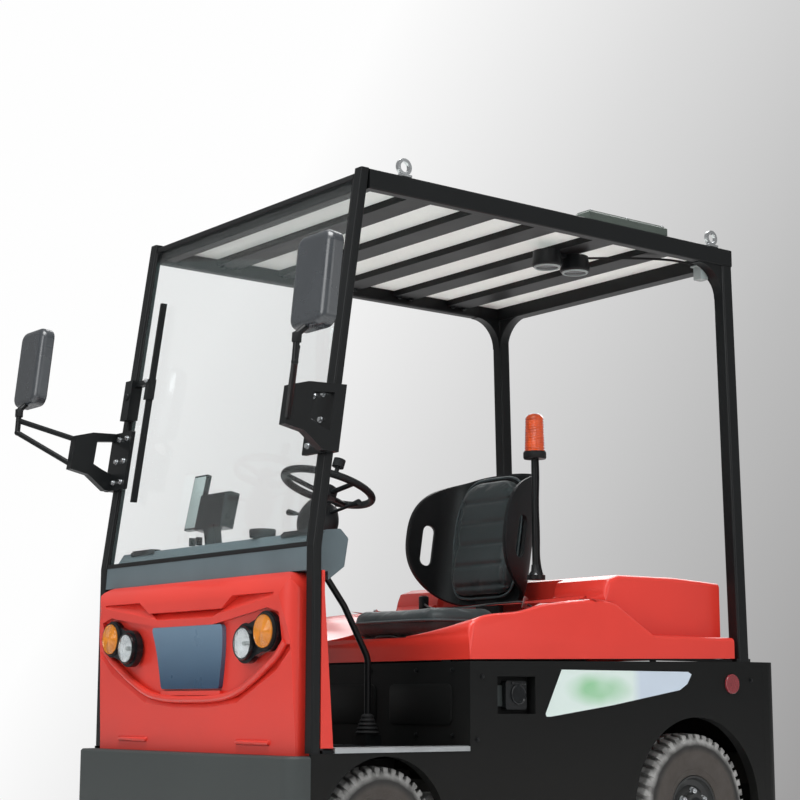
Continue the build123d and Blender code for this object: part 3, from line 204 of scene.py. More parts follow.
def window_glass(name, colour):
    """Laminated safety glass: nearly clear with a pale green cast and a trace of dust."""
    material, tree, place = new_material(name)
    haze = noise(tree, place, 3.0, 6.0)
    shaded(tree, Base_Color=rgba(colour), Roughness=ranged(tree, haze, 0.3, 0.8, 0.0, 0.02),
           Transmission_Weight=1.0, IOR=1.45, Alpha=0.14)
    return material


def roof_sheet(name, colour):
    """Glass-fibre sheet that lets some daylight through, with fibres showing in it."""
    material, tree, place = new_material(name)
    fibres = add_node(tree, "ShaderNodeTexNoise", {"Vector": place, "Scale": 90.0, "Detail": 6.0,
                                                   "Distortion": 1.5})
    shaded(tree, Base_Color=mixed(tree, fibres.outputs["Fac"], rgba(colour, 0.9), rgba(colour, 1.06)),
           Roughness=0.55, Transmission_Weight=0.45, IOR=1.5,
           Normal=relief(tree, fibres.outputs["Fac"], 0.15, 0.2))
    return material


def mirror_glass(name, colour):
    """Silvered glass, with a faint film of dust that dulls it in patches."""
    material, tree, place = new_material(name)
    haze = noise(tree, place, 12.0, 4.0)
    shaded(tree, Base_Color=rgba(colour), Roughness=ranged(tree, haze, 0.4, 0.9, 0.02, 0.14), Metallic=1.0)
    return material


def vinyl(name, colour, grain_mm, shine):
    """Coated seat fabric: leather-like pores, a soft sheen, and shinier where it is sat on."""
    material, tree, place = new_material(name)
    pores = add_node(tree, "ShaderNodeTexVoronoi", {"Vector": place, "Scale": 1 / (grain_mm * MM)})
    creases = add_node(tree, "ShaderNodeTexNoise", {"Vector": place, "Scale": 34.0, "Detail": 6.0,
                                                    "Roughness": 0.65})
    wear = noise(tree, place, 5.0, 3.0)
    height = add_node(tree, "ShaderNodeMath", {0: creases.outputs["Fac"], 1: pores.outputs["Distance"]},
                      operation="ADD").outputs[0]
    shaded(tree, Base_Color=mixed(tree, wear, rgba(colour, 0.85), rgba(colour, 1.2)),
           Roughness=ranged(tree, wear, 0.3, 0.7, shine + 0.1, shine - 0.04),
           Normal=relief(tree, height, 0.35, 0.4), Sheen_Weight=0.25, Sheen_Roughness=0.4)
    return material


def tyre_rubber(name, centre, tread_r, colour, sidewall, dust):
    """Carbon-black rubber: a brown bloom on the sidewall and pale road dust on the shoulder and the lugs."""
    material, tree, place = new_material(name)
    moved = add_node(tree, "ShaderNodeMapping", {"Vector": place,
                                                 "Location": [-centre[0] * MM, 0, -centre[2] * MM],
                                                 "Scale": [1, 0, 1]}, vector_type="POINT").outputs[0]
    out = add_node(tree, "ShaderNodeVectorMath", {0: moved}, operation="LENGTH").outputs["Value"]
    speck = noise(tree, place, 26.0, 6.0)
    fine = noise(tree, place, 420.0, 2.0)
    wall = ranged(tree, out, (tread_r - 60) * MM, (tread_r - 44) * MM, 1.0, 0.0)
    shoulder = ranged(tree, out, (tread_r - 46) * MM, (tread_r - 24) * MM, 0.0, 1.0)
    dusty = add_node(tree, "ShaderNodeMath", {0: shoulder, 1: speck}, operation="MULTIPLY").outputs[0]
    base = mixed(tree, wall, rgba(colour), rgba(sidewall))
    tone = mixed(tree, ranged(tree, dusty, 0.15, 0.6, 0.0, 0.85), base, rgba(dust))
    shaded(tree, Base_Color=tone, Roughness=ranged(tree, speck, 0.3, 0.7, 0.7, 0.95),
           Normal=relief(tree, fine, 0.4, 0.3))
    return material


def painted_light_fade(name, shaded_low_colour, lit_high_colour, low_mm, high_mm, roughness, coat):
    """A finish that fades from a darker colour low down to a lighter one higher up, under a clear coat:
    painted shade below, painted light above.
    """
    material, tree, place = new_material(name)
    rise = ranged(tree, along(tree, place, "Z"), low_mm * MM, high_mm * MM, 0.0, 1.0)
    wiped = noise(tree, place, 8.0, 3.0)
    shaded(tree, Base_Color=mixed(tree, rise, rgba(shaded_low_colour), rgba(lit_high_colour)),
           Roughness=ranged(tree, wiped, 0.3, 0.7, roughness - 0.04, roughness + 0.06), Coat_Weight=coat)
    return material


def side_film(name, ground, leaf, band):
    """Printed vinyl film: a pale ground with a soft leaf-green patch in front and a pale blue band behind."""
    material, tree, place = new_material(name)
    length = along(tree, place, "X")
    patch = add_node(tree, "ShaderNodeMapping", {"Vector": place, "Location": [0.14, 0, -0.606],
                                                 "Scale": [1, 0, 1]}).outputs[0]
    shaped = add_node(tree, "ShaderNodeMapping", {"Vector": patch, "Scale": [6.0, 0, 17.0]}).outputs[0]
    ring = add_node(tree, "ShaderNodeVectorMath", {0: shaped}, operation="LENGTH").outputs["Value"]
    mottle = noise(tree, place, 9.0, 1.0)
    leafy = add_node(tree, "ShaderNodeMath", {0: ranged(tree, ring, 0.35, 1.0, 1.0, 0.0), 1: mottle},
                     operation="MULTIPLY").outputs[0]
    front = mixed(tree, ranged(tree, leafy, 0.05, 0.75, 0.0, 1.0), rgba(ground), rgba(leaf))
    back = ranged(tree, length, -0.285, -0.325, 0.0, 1.0)
    shaded(tree, Base_Color=mixed(tree, back, front, rgba(band)),
           Roughness=ranged(tree, mottle, 0.3, 0.7, 0.28, 0.36), Coat_Weight=0.4)
    return material


# Mesh helpers. All their lengths are in millimetres.

def mm(x, y, z):
    return Vector((x, y, z)) * MM


def only(piece):
    """Selects one object alone and makes it active."""
    bpy.ops.object.select_all(action="DESELECT")
    piece.select_set(True)
    bpy.context.view_layer.objects.active = piece


def settle(piece, name=None):
    """Moves the object's place, turn and size into its mesh."""
    only(piece)
    bpy.ops.object.transform_apply(location=True, rotation=True, scale=True)
    if name:
        piece.name = name
        piece.data.name = name
    return piece


def smooth(piece, angle=40):
    """Smooth shading apart from the sharp edges."""
    only(piece)
    bpy.ops.object.shade_smooth_by_angle(angle=radians(angle))
    return piece


def applied(piece, kind, **settings):
    """Puts a modifier on a piece and applies it."""
    only(piece)
    modifier = piece.modifiers.new(kind.lower(), kind)
    for key, value in settings.items():
        setattr(modifier, key, value)
    bpy.ops.object.modifier_apply(modifier=modifier.name)
    return piece


def rounded(piece, width, segments=2):
    """Bevels the sharp edges of a piece and smooths its shading."""
    applied(piece, "BEVEL", width=width * MM, segments=segments, limit_method="ANGLE",
            angle_limit=radians(30))
    return smooth(piece)


def face_outward():
    """Turns every face of the edited mesh outward and leaves edit mode."""
    bpy.ops.mesh.select_all(action="SELECT")
    bpy.ops.mesh.normals_make_consistent(inside=False)
    bpy.ops.object.mode_set(mode="OBJECT")


def box_piece(name, low, high, edge=2.0):
    """A block between two corners with softened edges."""
    bpy.ops.object.select_all(action="DESELECT")
    bpy.ops.mesh.primitive_cube_add(size=1, location=[(a + b) / 2 * MM for a, b in zip(low, high)])
    piece = bpy.context.object
    piece.scale = [abs(b - a) * MM for a, b in zip(low, high)]
    settle(piece, name)
    return rounded(piece, edge) if edge else piece


def shifted(piece, chosen, step):
    """Moves the chosen points of a piece, as by hand."""
    only(piece)
    for vertex in piece.data.vertices:
        vertex.select = chosen(vertex.co / MM)
    for part in (*piece.data.edges, *piece.data.polygons):
        part.select = all(piece.data.vertices[i].select for i in part.vertices)
    bpy.ops.object.mode_set(mode="EDIT")
    bpy.ops.transform.translate(value=mm(*step))
    bpy.ops.object.mode_set(mode="OBJECT")
    return piece


def moved(piece, matrix):
    """Moves a piece's mesh by a matrix in metres."""
    piece.data.transform(matrix)
    return piece


def turned(piece, angle, axis, about):
    """Turns a piece's mesh about an axis through a point in millimetres."""
    point = Matrix.Translation(mm(*about))
    return moved(piece, point @ Matrix.Rotation(radians(angle), 4, axis) @ point.inverted())


def rod(name, start, end, radius, sides=20, edge=0.0, tip=None):
    """A round rod between two points, tapered to the tip radius where one is given."""
    bpy.ops.object.select_all(action="DESELECT")
    a, b = mm(*start), mm(*end)
    turn = Vector((0, 0, 1)).rotation_difference(b - a).to_euler()
    bpy.ops.mesh.primitive_cone_add(vertices=sides, radius1=radius * MM,
                                    radius2=(radius if tip is None else tip) * MM,
                                    depth=(b - a).length, location=(a + b) / 2, rotation=turn)
    piece = settle(bpy.context.object, name)
    return rounded(piece, edge) if edge else smooth(piece)


def lathe(name, profile, centre, axis, steps=64):
    """Spins a line of (along, out) points about an axis through the centre."""
    bpy.ops.object.select_all(action="DESELECT")
    bpy.ops.mesh.primitive_plane_add(size=MM, location=(profile[0][1] * MM, 0, profile[0][0] * MM))
    piece = settle(bpy.context.object, name)
    bpy.ops.object.mode_set(mode="EDIT")
    bpy.ops.mesh.select_all(action="SELECT")
    bpy.ops.mesh.merge(type="CENTER")
    for before, after in zip(profile, profile[1:]):
        step = mm(after[1] - before[1], 0, after[0] - before[0])
        bpy.ops.mesh.extrude_vertices_move(TRANSFORM_OT_translate={"value": step})
    bpy.ops.mesh.select_all(action="SELECT")
    bpy.ops.mesh.spin(steps=steps, angle=2 * pi, center=(0, 0, 0), axis=(0, 0, 1))
    bpy.ops.mesh.select_all(action="SELECT")
    bpy.ops.mesh.remove_doubles(threshold=0.00005)
    face_outward()
    piece.rotation_euler = Vector((0, 0, 1)).rotation_difference(Vector(axis)).to_euler()
    piece.location = mm(*centre)
    settle(piece)
    return smooth(piece)


def plate(name, width, height, corner, thick, place, way, normal, edge=0.6):
    """A plate with rounded corners. Its width runs along way, and it is thickened along normal."""
    bpy.ops.object.select_all(action="DESELECT")
    bpy.ops.mesh.primitive_plane_add(size=1)
    piece = bpy.context.object
    piece.scale = (width * MM, height * MM, 1)
    settle(piece, name)
    bpy.ops.object.mode_set(mode="EDIT")
    bpy.ops.mesh.select_all(action="SELECT")
    if corner:
        bpy.ops.mesh.bevel(affect="VERTICES", offset=corner * MM, segments=5)
        bpy.ops.mesh.select_all(action="SELECT")
    bpy.ops.mesh.extrude_region_move(TRANSFORM_OT_translate={"value": (0, 0, thick * MM)})
    face_outward()
    out = Vector(normal).normalized()
    side = Vector(way).normalized()
    up = out.cross(side)
    turn = Matrix((side, up, out)).transposed().to_4x4()
    moved(piece, Matrix.Translation(mm(*place)) @ turn)
    return rounded(piece, edge) if edge else smooth(piece)


def cutout(name, outline, step, edge=0.0):
    """A flat piece with the given outline, thickened by a step."""
    bpy.ops.object.select_all(action="DESELECT")
    bpy.ops.mesh.primitive_circle_add(vertices=len(outline), radius=1, fill_type="NGON")
    piece = settle(bpy.context.object, name)
    for vertex, place in zip(piece.data.vertices, outline):
        vertex.co = mm(*place)
    bpy.ops.object.mode_set(mode="EDIT")
    bpy.ops.mesh.select_all(action="SELECT")
    bpy.ops.mesh.extrude_region_move(TRANSFORM_OT_translate={"value": mm(*step)})
    face_outward()
    return rounded(piece, edge) if edge else smooth(piece)


def tube(name, points, radius, sides=4, order=3):
    """A smooth round tube along a route, made a mesh."""
    curve = bpy.data.curves.new(name, "CURVE")
    curve.dimensions = "3D"
    line = curve.splines.new("NURBS")
    line.points.add(len(points) - 1)
    for place, point in zip(line.points, points):
        place.co = (*mm(*point), 1)
    line.order_u = order
    line.use_endpoint_u = True
    line.resolution_u = 8
    curve.bevel_depth = radius * MM
    curve.bevel_resolution = sides
    curve.use_fill_caps = True
    piece = bpy.data.objects.new(name, curve)
    bpy.context.scene.collection.objects.link(piece)
    only(piece)
    bpy.ops.object.convert(target="MESH")
    return smooth(bpy.context.object)


def copied(piece, name, matrix=Matrix.Identity(4)):
    """A copy with its own mesh, moved by a matrix in metres."""
    twin = piece.copy()
    twin.data = piece.data.copy()
    twin.name = name
    twin.data.name = name
    bpy.context.scene.collection.objects.link(twin)
    twin.data.transform(matrix)
    if matrix.determinant() < 0:
        twin.data.flip_normals()
    return twin


def joined(pieces, name):
    """Several pieces as one object."""
    bpy.ops.object.select_all(action="DESELECT")
    for piece in pieces:
        piece.select_set(True)
    bpy.context.view_layer.objects.active = pieces[0]
    if len(pieces) > 1:
        bpy.ops.object.join()
    whole = bpy.context.object
    whole.name = name
    whole.data.name = name
    return whole


def finished(piece, material, body="root"):
    """Gives a piece its finish and fixes it to its body."""
    piece.data.materials.clear()
    piece.data.materials.append(finish(material))
    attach(piece, body)
    return piece


def pair(piece, material, body="root"):
    """Finishes a piece on the left and its mirror copy on the right."""
    base = piece.name
    twin = copied(piece, base + "_right", MIRROR)
    piece.name = base + "_left"
    return finished(piece, material, body), finished(twin, material, body)


def hex_bolt(name, place, axis, size=17, height=9):
    """A hexagon bolt head on its washer."""
    way = Vector(axis).normalized()
    base = Vector(place)
    washer = rod("washer", base, base + way * 2, size * 0.72, 20)
    head = rod("head", base + way * 2, base + way * (2 + height), size * 0.577, 6, 0.8)
    return joined([washer, head], name)


def bolts(name, places, axis, size=17, height=9):
    """The same bolt at several places, as one piece."""
    first = hex_bolt(name, (0, 0, 0), axis, size, height)
    made = [copied(first, name, Matrix.Translation(mm(*place))) for place in places]
    bpy.data.objects.remove(first)
    return joined(made, name)


def on_glass(z, offset):
    """x at height z on the leaning line of the pillars' front, moved back square to it by offset."""
    back = (z - PILLAR_BEND_Z) * sin(PILLAR_LEAN) / cos(PILLAR_LEAN)
    return PILLAR_FRONT_X - back - offset / cos(PILLAR_LEAN)


def glass_strip(name, y0, y1, z0, z1, offset, proud, edge=0.8):
    """A strip that lies along the windscreen, offset back from the pillars' front."""
    middle = (z0 + z1) / 2
    length = (z1 - z0) / cos(PILLAR_LEAN)
    strip = box_piece(name, (-proud / 2, y0, -length / 2), (proud / 2, y1, length / 2), edge)
    place = mm(on_glass(middle, offset), 0, middle)
    return moved(strip, Matrix.Translation(place) @ Matrix.Rotation(-PILLAR_LEAN, 4, "Y"))


# Finishes, each made the first time it is asked for

FINISH = {}

MAKERS = {
    # Two-coat enamel on moulded panels: deep red with a clear, soft-edged gloss
    "red_enamel": lambda c: painted_metal("Red enamel on moulded panels", c.red, 0.38, 0.35, 4.0, 0.04, 0.0,
                                          0.45),
    # Textured powder coat on steel plate: dark, with a broken, dull gloss
    "black_powder": lambda c: painted_metal("Black powder coat on steel plate", c.body, 0.50, 0.0, 1.6, 0.25,
                                            0.04, 0.15),
    "frame_black": lambda c: painted_metal("Black chassis paint", c.guard, 0.58, 0.0, 2.0, 0.35, 0.30, 0.15),
    # Semi-gloss black on round and square tube
    "guard_enamel": lambda c: painted_metal("Semi-gloss black enamel on steel tube", c.guard, 0.38, 0.05, 2.2,
                                            0.10, 0.0, 0.22),
    "bumper_grey": lambda c: painted_metal("Grey structured paint on thick plate", c.bumper, 0.52, 0.0, 1.8,
                                           0.30, 0.05, 0.2),
    "roof_cream": lambda c: roof_sheet("Translucent glass-fibre roof sheet", c.roof),
    "roof_box_grey": lambda c: moulded("Grey-green moulded cover", c.roof_box, 0.45, 1.4, 0.25),
    "black_abs": lambda c: moulded("Black grained ABS", c.plastic, 0.44, 1.2, 0.35),
    "mirror_shell": lambda c: moulded("Graphite mirror shell", linear("#34383C"), 0.26, 2.4, 0.05, 0.9),
    "glossy_abs": lambda c: moulded("Black polished ABS", c.plastic, 0.18, 2.4, 0.05),
    "dash_grey": lambda c: moulded("Grey grained ABS", c.dash, 0.50, 1.6, 0.40),
    "soft_grip": lambda c: moulded("Black soft-touch polyurethane", c.plastic, 0.62, 0.9, 0.45),
    "ribbed_rubber": lambda c: moulded("Black EPDM rubber", linear("#151617"), 0.72, 1.1, 0.50),
    "floor_rubber": lambda c: moulded("Dark floor rubber", linear("#24282A"), 0.78, 2.0, 0.60),
    "seat_vinyl": lambda c: vinyl("Dark blue-grey seat vinyl", c.seat, 1.8, 0.46),
    "seat_piping": lambda c: vinyl("Seat piping vinyl", linear("#3E4A4D"), 1.2, 0.40),
    "belt_webbing": lambda c: woven_belt("Woven polyester belt", linear("#1C1D1F")),
    "bright_zinc": lambda c: bare_metal("Zinc-plated steel", linear("#C9CCCE"), 0.30, (1, 1, 1), 0.10),
    "step_aluminium": lambda c: bare_metal("Extruded aluminium", linear("#B9BDBF"), 0.38, (0.2, 6, 6), 0.25),
    "worn_steel": lambda c: bare_metal("Worn hitch steel", linear("#6E6A66"), 0.45, (1, 1, 4), 0.40),
    "chrome": lambda c: bare_metal("Vacuum-plated reflector", linear("#E9ECEE"), 0.08, (1, 1, 1), 0.02),
    "clear_lens": lambda c: lens_plastic("Clear acrylic lens", linear("#F4FAFB"), 0.95, 9.0, "Y"),
    "amber_lens": lambda c: lens_plastic("Amber acrylic lens", c.amber, 0.35, 5.0, "Y"),
    "beacon_lens": lambda c: lens_plastic("Orange beacon lens", c.beacon, 0.40, 5.0),
    "red_reflex": lambda c: lens_plastic("Red reflex lens", c.reflex, 0.20, 4.0, "X"),
    "rear_lens": lambda c: rear_lens("Three-part rear lamp lens", linear("#B5121B"), linear("#E8891D"),
                                     linear("#E9EDEE")),
    "glass": lambda c: window_glass("Pale green laminated glass", c.glass),
    "mirror": lambda c: mirror_glass("Silvered mirror glass", linear("#D5DCDF")),
    # Both plates are painted lighter towards the top: painted light from above, painted shade below
    "plate_blue": lambda c: painted_light_fade("Blue enamelled plate", linear("#163D5A"), linear("#5F7C93"), 615,
                                         780, 0.30, 0.4),
    "blank_plate": lambda c: painted_light_fade("White reflective plate", linear("#D9DBDA"), linear("#E8E9E7"), 400,
                                          560, 0.35, 0.3),
    "side_film": lambda c: side_film("Printed side film", c.film, linear("#6FC27A"), linear("#C9D6E4")),
    "battery_grey": lambda c: moulded("Grey battery case", linear("#6B7072"), 0.55, 2.0, 0.30),
    "rim_paint": lambda c: painted_metal("Dark rim paint", c.rim, 0.40, 0.0, 2.0, 0.20, 0.08, 0.3),
    "tyre_front": lambda c: tyre_rubber("Front tyre rubber", FRONT_AXLE, 195, c.tyre, linear("#46413D"),
                                        linear("#A2A2A0")),
    "tyre_rear": lambda c: tyre_rubber("Rear tyre rubber", REAR_AXLE, 235, c.tyre, linear("#46413D"),
                                       linear("#ABABA9")),
    "screen": lambda c: mirror_glass("Dark display glass", linear("#14181B")),
    "panel_pale": lambda c: moulded("Pale grey ABS", linear("#A9B4B3"), 0.48, 1.5, 0.25),
    "signal_red": lambda c: moulded("Red nylon", linear("#B3201B"), 0.38, 1.5, 0.15),
    "signal_green": lambda c: moulded("Green nylon", linear("#2F8F4A"), 0.38, 1.5, 0.15),
    "dial_face": lambda c: dial_face("Printed dial face", linear("#101214"), linear("#E9ECEC")),
}


def finish(name):
    """The named finish, made the first time it is asked for."""
    if name not in FINISH:
        FINISH[name] = MAKERS[name](bpy.context.scene.tug_colours)
    return FINISH[name]


def woven_belt(name, colour):
    """Flat woven polyester: two sets of fine threads crossing, with a silky edge light."""
    material, tree, place = new_material(name)
    thread = 2.2
    warp = ribbed(tree, place, thread, "X")
    weft = ribbed(tree, place, thread, "Z")
    height = add_node(tree, "ShaderNodeMath", {0: warp.outputs["Fac"], 1: weft.outputs["Fac"]},
                      operation="MULTIPLY").outputs[0]
    # Painted shade and painted highlight: the colour is darker in the hollows of the weave and lighter on its
    # raised threads
    shaded(tree, Base_Color=mixed(tree, height, rgba(colour, 0.7), rgba(colour, 1.5)), Roughness=0.6,
           Normal=relief(tree, height, 0.5, 0.4), Sheen_Weight=0.4)
    return material


def rear_lens(name, stop, turn, clear):
    """One acrylic lens moulded in three colours, from the bottom up: clear, red and amber."""
    material, tree, place = new_material(name)
    height = along(tree, place, "Z")
    lower = mixed(tree, ranged(tree, height, 0.583, 0.585, 0.0, 1.0), rgba(clear), rgba(stop))
    tone = mixed(tree, ranged(tree, height, 0.634, 0.636, 0.0, 1.0), lower, rgba(turn))
    ribs = ribbed(tree, place, 5.0, "Y")
    shaded(tree, Base_Color=tone, Roughness=0.15, Normal=relief(tree, ribs.outputs["Fac"], 0.5, 0.6),
           Transmission_Weight=0.15, IOR=1.49, Coat_Weight=0.5)
    return material


def dial_face(name, ground, mark):
    """A black printed dial with fine pale ticks round its edge."""
    material, tree, place = new_material(name)
    wave = ribbed(tree, place, 6.0, "Y")
    ticks = ranged(tree, wave.outputs["Fac"], 0.86, 0.92, 0.0, 0.8)
    shaded(tree, Base_Color=mixed(tree, ticks, rgba(ground), rgba(mark)), Roughness=0.25, Coat_Weight=0.6)
    return material


CAD_FINISH = {
    "chassis_frame": "frame_black", "front_axle": "frame_black", "knuckle_left": "frame_black",
    "knuckle_right": "frame_black", "tie_rod": "frame_black", "rear_axle": "frame_black",
    "tow_hitch": "frame_black", "hood_hinges": "frame_black",
    "side_panel_left": "black_powder", "side_panel_right": "black_powder", "tail_panel": "black_powder",
    "kick_panel": "black_powder", "seat_box": "black_powder", "front_bumper": "bumper_grey",
    "hood": "red_enamel", "nose_cowl": "red_enamel",
    "guard_pillars": "guard_enamel", "guard_posts": "guard_enamel", "roof_frame": "guard_enamel",
    "mirror_arms": "guard_enamel", "beacon_pole": "guard_enamel",
    "roof_box": "roof_box_grey", "roof_panel": "roof_cream", "floor_plate": "floor_rubber",
    "step_trims": "step_aluminium", "lifting_eyes": "bright_zinc", "tow_pin": "worn_steel",
    "battery": "battery_grey", "nose_plate": "plate_blue",
    "steering_wheel": "soft_grip", "steering_column": "black_abs", "driver_controls": "guard_enamel",
    "dash_display": "glossy_abs", "mirror_heads": "mirror_shell", "roof_lamps": "black_abs",
    "service_covers": "black_abs", "lamp_housings": "glossy_abs", "wiper": "guard_enamel",
    "seat_frame": "black_abs", "dashboard": "dash_grey",
    "headlamps": "clear_lens", "indicators": "amber_lens", "beacon_lens": "beacon_lens",
    "rear_lamps": "rear_lens", "side_reflectors": "red_reflex", "windscreen": "glass",
    "seat_cushion": "seat_vinyl", "seat_back": "seat_vinyl",
    "tyre_front_left": "tyre_front", "tyre_front_right": "tyre_front",
    "tyre_rear_left": "tyre_rear", "tyre_rear_right": "tyre_rear",
    "rim_front_left": "rim_paint", "rim_front_right": "rim_paint",
    "rim_rear_left": "rim_paint", "rim_rear_right": "rim_paint",
}


# Settings a user would change

def colour_setting(label, about, code):
    """A colour property with its default written as a hex code."""
    return bpy.props.FloatVectorProperty(name=label, description=about, subtype="COLOR", size=3, min=0, max=1,
                                         default=linear(code))


def count_setting(label, about, usual, low, high):
    """A whole number between two limits."""
    return bpy.props.IntProperty(name=label, description=about, default=usual, min=low, max=high)


def depth_setting(label, about, usual, low, high):
    """A depth in metres between two limits."""
    return bpy.props.FloatProperty(name=label, description=about, default=usual, min=low, max=high,
                                   unit="LENGTH")


class TugColours(bpy.types.PropertyGroup):
    """Colours of the paint, plastics, seat and lenses."""
    red: colour_setting("Panels", "Enamel on the hood and the nose", "#D8372B")
    body: colour_setting("Body", "Powder coat on the lower body", "#121313")
    bumper: colour_setting("Bumper", "Paint on the front bumper", "#3E4343")
    guard: colour_setting("Guard", "Enamel on the overhead guard and the chassis", "#121415")
    roof: colour_setting("Roof sheet", "Sheet over the roof slats", "#EEF1EE")
    roof_box: colour_setting("Roof box", "Flat cover on the left roof rail", "#4A524D")
    plastic: colour_setting("Black plastics", "Column, lamp housings and small fittings", "#151719")
    dash: colour_setting("Dashboard", "Scuttle and dashboard", "#5E6B70")
    seat: colour_setting("Seat", "Vinyl on the cushion and the back", "#2F393B")
    amber: colour_setting("Indicators", "Lenses of the front indicators", "#F09A28")
    beacon: colour_setting("Beacon", "Lens of the beacon on its pole", "#E0530F")
    reflex: colour_setting("Reflectors", "Side reflectors", "#8C3238")
    glass: colour_setting("Glass", "Cast of the windscreen", "#A9E4E2")
    film: colour_setting("Side film", "Ground of the printed film on the sides", "#DCEBE6")
    rim: colour_setting("Rims", "Paint on the wheel rims", "#2A2C2D")
    tyre: colour_setting("Tyres", "Rubber of the treads", "#2B2A29")


class TugSizes(bpy.types.PropertyGroup):
    """Sizes and counts of what is added to the solids."""
    lugs_front: count_setting("Front lugs", "Tread lugs on each side of a front tyre", 40, 20, 70)
    lugs_rear: count_setting("Rear lugs", "Tread lugs on each side of a rear tyre", 44, 20, 70)
    tread_depth: depth_setting("Tread depth", "Depth of the grooves between the lugs", 0.011, 0.004, 0.02)
    wheel_nuts: count_setting("Wheel nuts", "Nuts on each wheel", 6, 4, 10)
    cushion_channels: count_setting("Cushion channels", "Sewn channels across the cushion", 5, 2, 9)
    back_channels: count_setting("Back channels", "Sewn channels across the seat back", 5, 2, 9)
    channel_depth: depth_setting("Channel depth", "Depth of the sewn channels", 0.007, 0.002, 0.02)
    beacon_ribs: count_setting("Beacon ribs", "Rings moulded round the beacon lens", 12, 4, 24)


# One operator for each piece or group of like pieces

class TugOperator(bpy.types.Operator):
    """Shared base: each piece can be undone."""
    bl_options = {"REGISTER", "UNDO"}


class StageOperator(TugOperator):
    """Sets the camera, the soft studio light, the pale floor and the backdrop."""
    bl_idname = "bagtug.stage"
    bl_label = "Stage, light and camera"

    def execute(self, context):
        scene = context.scene
        scene.view_settings.view_transform = "Standard"
        bpy.ops.object.select_all(action="DESELECT")
        bpy.ops.object.camera_add(location=mm(3808, 4650, 560),
                                  rotation=(radians(90 + 9.56), radians(-0.0965), radians(141.925)))
        camera = context.object
        camera.data.lens = 81.28
        camera.data.sensor_width = 36
        camera.data.clip_end = 60
        scene.camera = camera

        world = bpy.data.worlds.new("Studio")
        world.use_nodes = True
        tree = world.node_tree
        tree.nodes.clear()
        way = add_node(tree, "ShaderNodeTexCoord").outputs["Generated"]
        # The wall fades from white at the upper left of the photograph to grey at its lower right
        # The grey is painted shade: the backdrop is drawn darker where less light falls on it
        across = add_node(tree, "ShaderNodeVectorMath", {0: way, 1: (-0.7145, 0.4610, -0.4631)},
                          operation="DOT_PRODUCT").outputs["Value"]
        ramp = add_node(tree, "ShaderNodeValToRGB", {0: ranged(tree, across, -0.1055, 0.2945, 0.0, 1.0)})
        stops = ramp.color_ramp.elements
        stops[0].color = rgba(linear("#FEFEFE"))
        stops[1].color = rgba(linear("#999898"))
        for place, code in ((0.34, "#DCDCDC"), (0.64, "#BEBEBE")):
            stops.new(place).color = rgba(linear(code))
        light = add_node(tree, "ShaderNodeBackground", {"Color": rgba([1, 1, 1]), "Strength": 0.34})
        wall = add_node(tree, "ShaderNodeBackground", {"Color": ramp.outputs[0], "Strength": 1.0})
        path = add_node(tree, "ShaderNodeLightPath")
        seen = add_node(tree, "ShaderNodeMath", {0: path.outputs["Is Camera Ray"],
                                                 1: path.outputs["Is Transmission Ray"]}, operation="MAXIMUM")
        mix = add_node(tree, "ShaderNodeMixShader", {0: seen.outputs[0], 1: light.outputs[0],
                                                     2: wall.outputs[0]})
        add_node(tree, "ShaderNodeOutputWorld", {"Surface": mix.outputs[0]})
        scene.world = world

        for name, place, size, power in (("top", (1900, 1500, 5600), 3200, 280),
                                         ("key", (4600, 1800, 2600), 2400, 62),
                                         ("side", (-600, 5400, 2000), 2600, 36),
                                         ("rear", (-3600, -2600, 4600), 4600, 250)):
            bpy.ops.object.select_all(action="DESELECT")
            bpy.ops.object.light_add(type="AREA", location=mm(*place))
            lamp = context.object
            lamp.name = name
            lamp.data.size = size * MM
            lamp.data.energy = power
            lamp.rotation_euler = (mm(0, 0, 800) - lamp.location).to_track_quat("-Z", "Y").to_euler()

        bpy.ops.object.select_all(action="DESELECT")
        bpy.ops.mesh.primitive_plane_add(size=9, location=(0, 0, -0.001))
        floor = settle(context.object, "studio_floor")
        material, tree, place = new_material("Pale studio floor")
        speck = add_node(tree, "ShaderNodeTexNoise", {"Vector": place, "Scale": 30.0}).outputs["Fac"]
        shaded(tree, Base_Color=mixed(tree, speck, rgba(linear("#E6E6E6")), rgba(linear("#EEEEEE"))),
               Roughness=0.95, Specular_IOR_Level=0.1)
        floor.data.materials.append(material)
        return {"FINISHED"}


class FinishesOperator(TugOperator):
    """Gives every solid of the frame its finish."""
    bl_idname = "bagtug.finishes"
    bl_label = "Finishes of the solids"

    def execute(self, context):
        for name, node in NODES.items():
            made = finish(CAD_FINISH[name])
            if not node.material_slots:
                node.data.materials.append(made)
            for place in node.material_slots:
                place.material = made
        return {"FINISHED"}


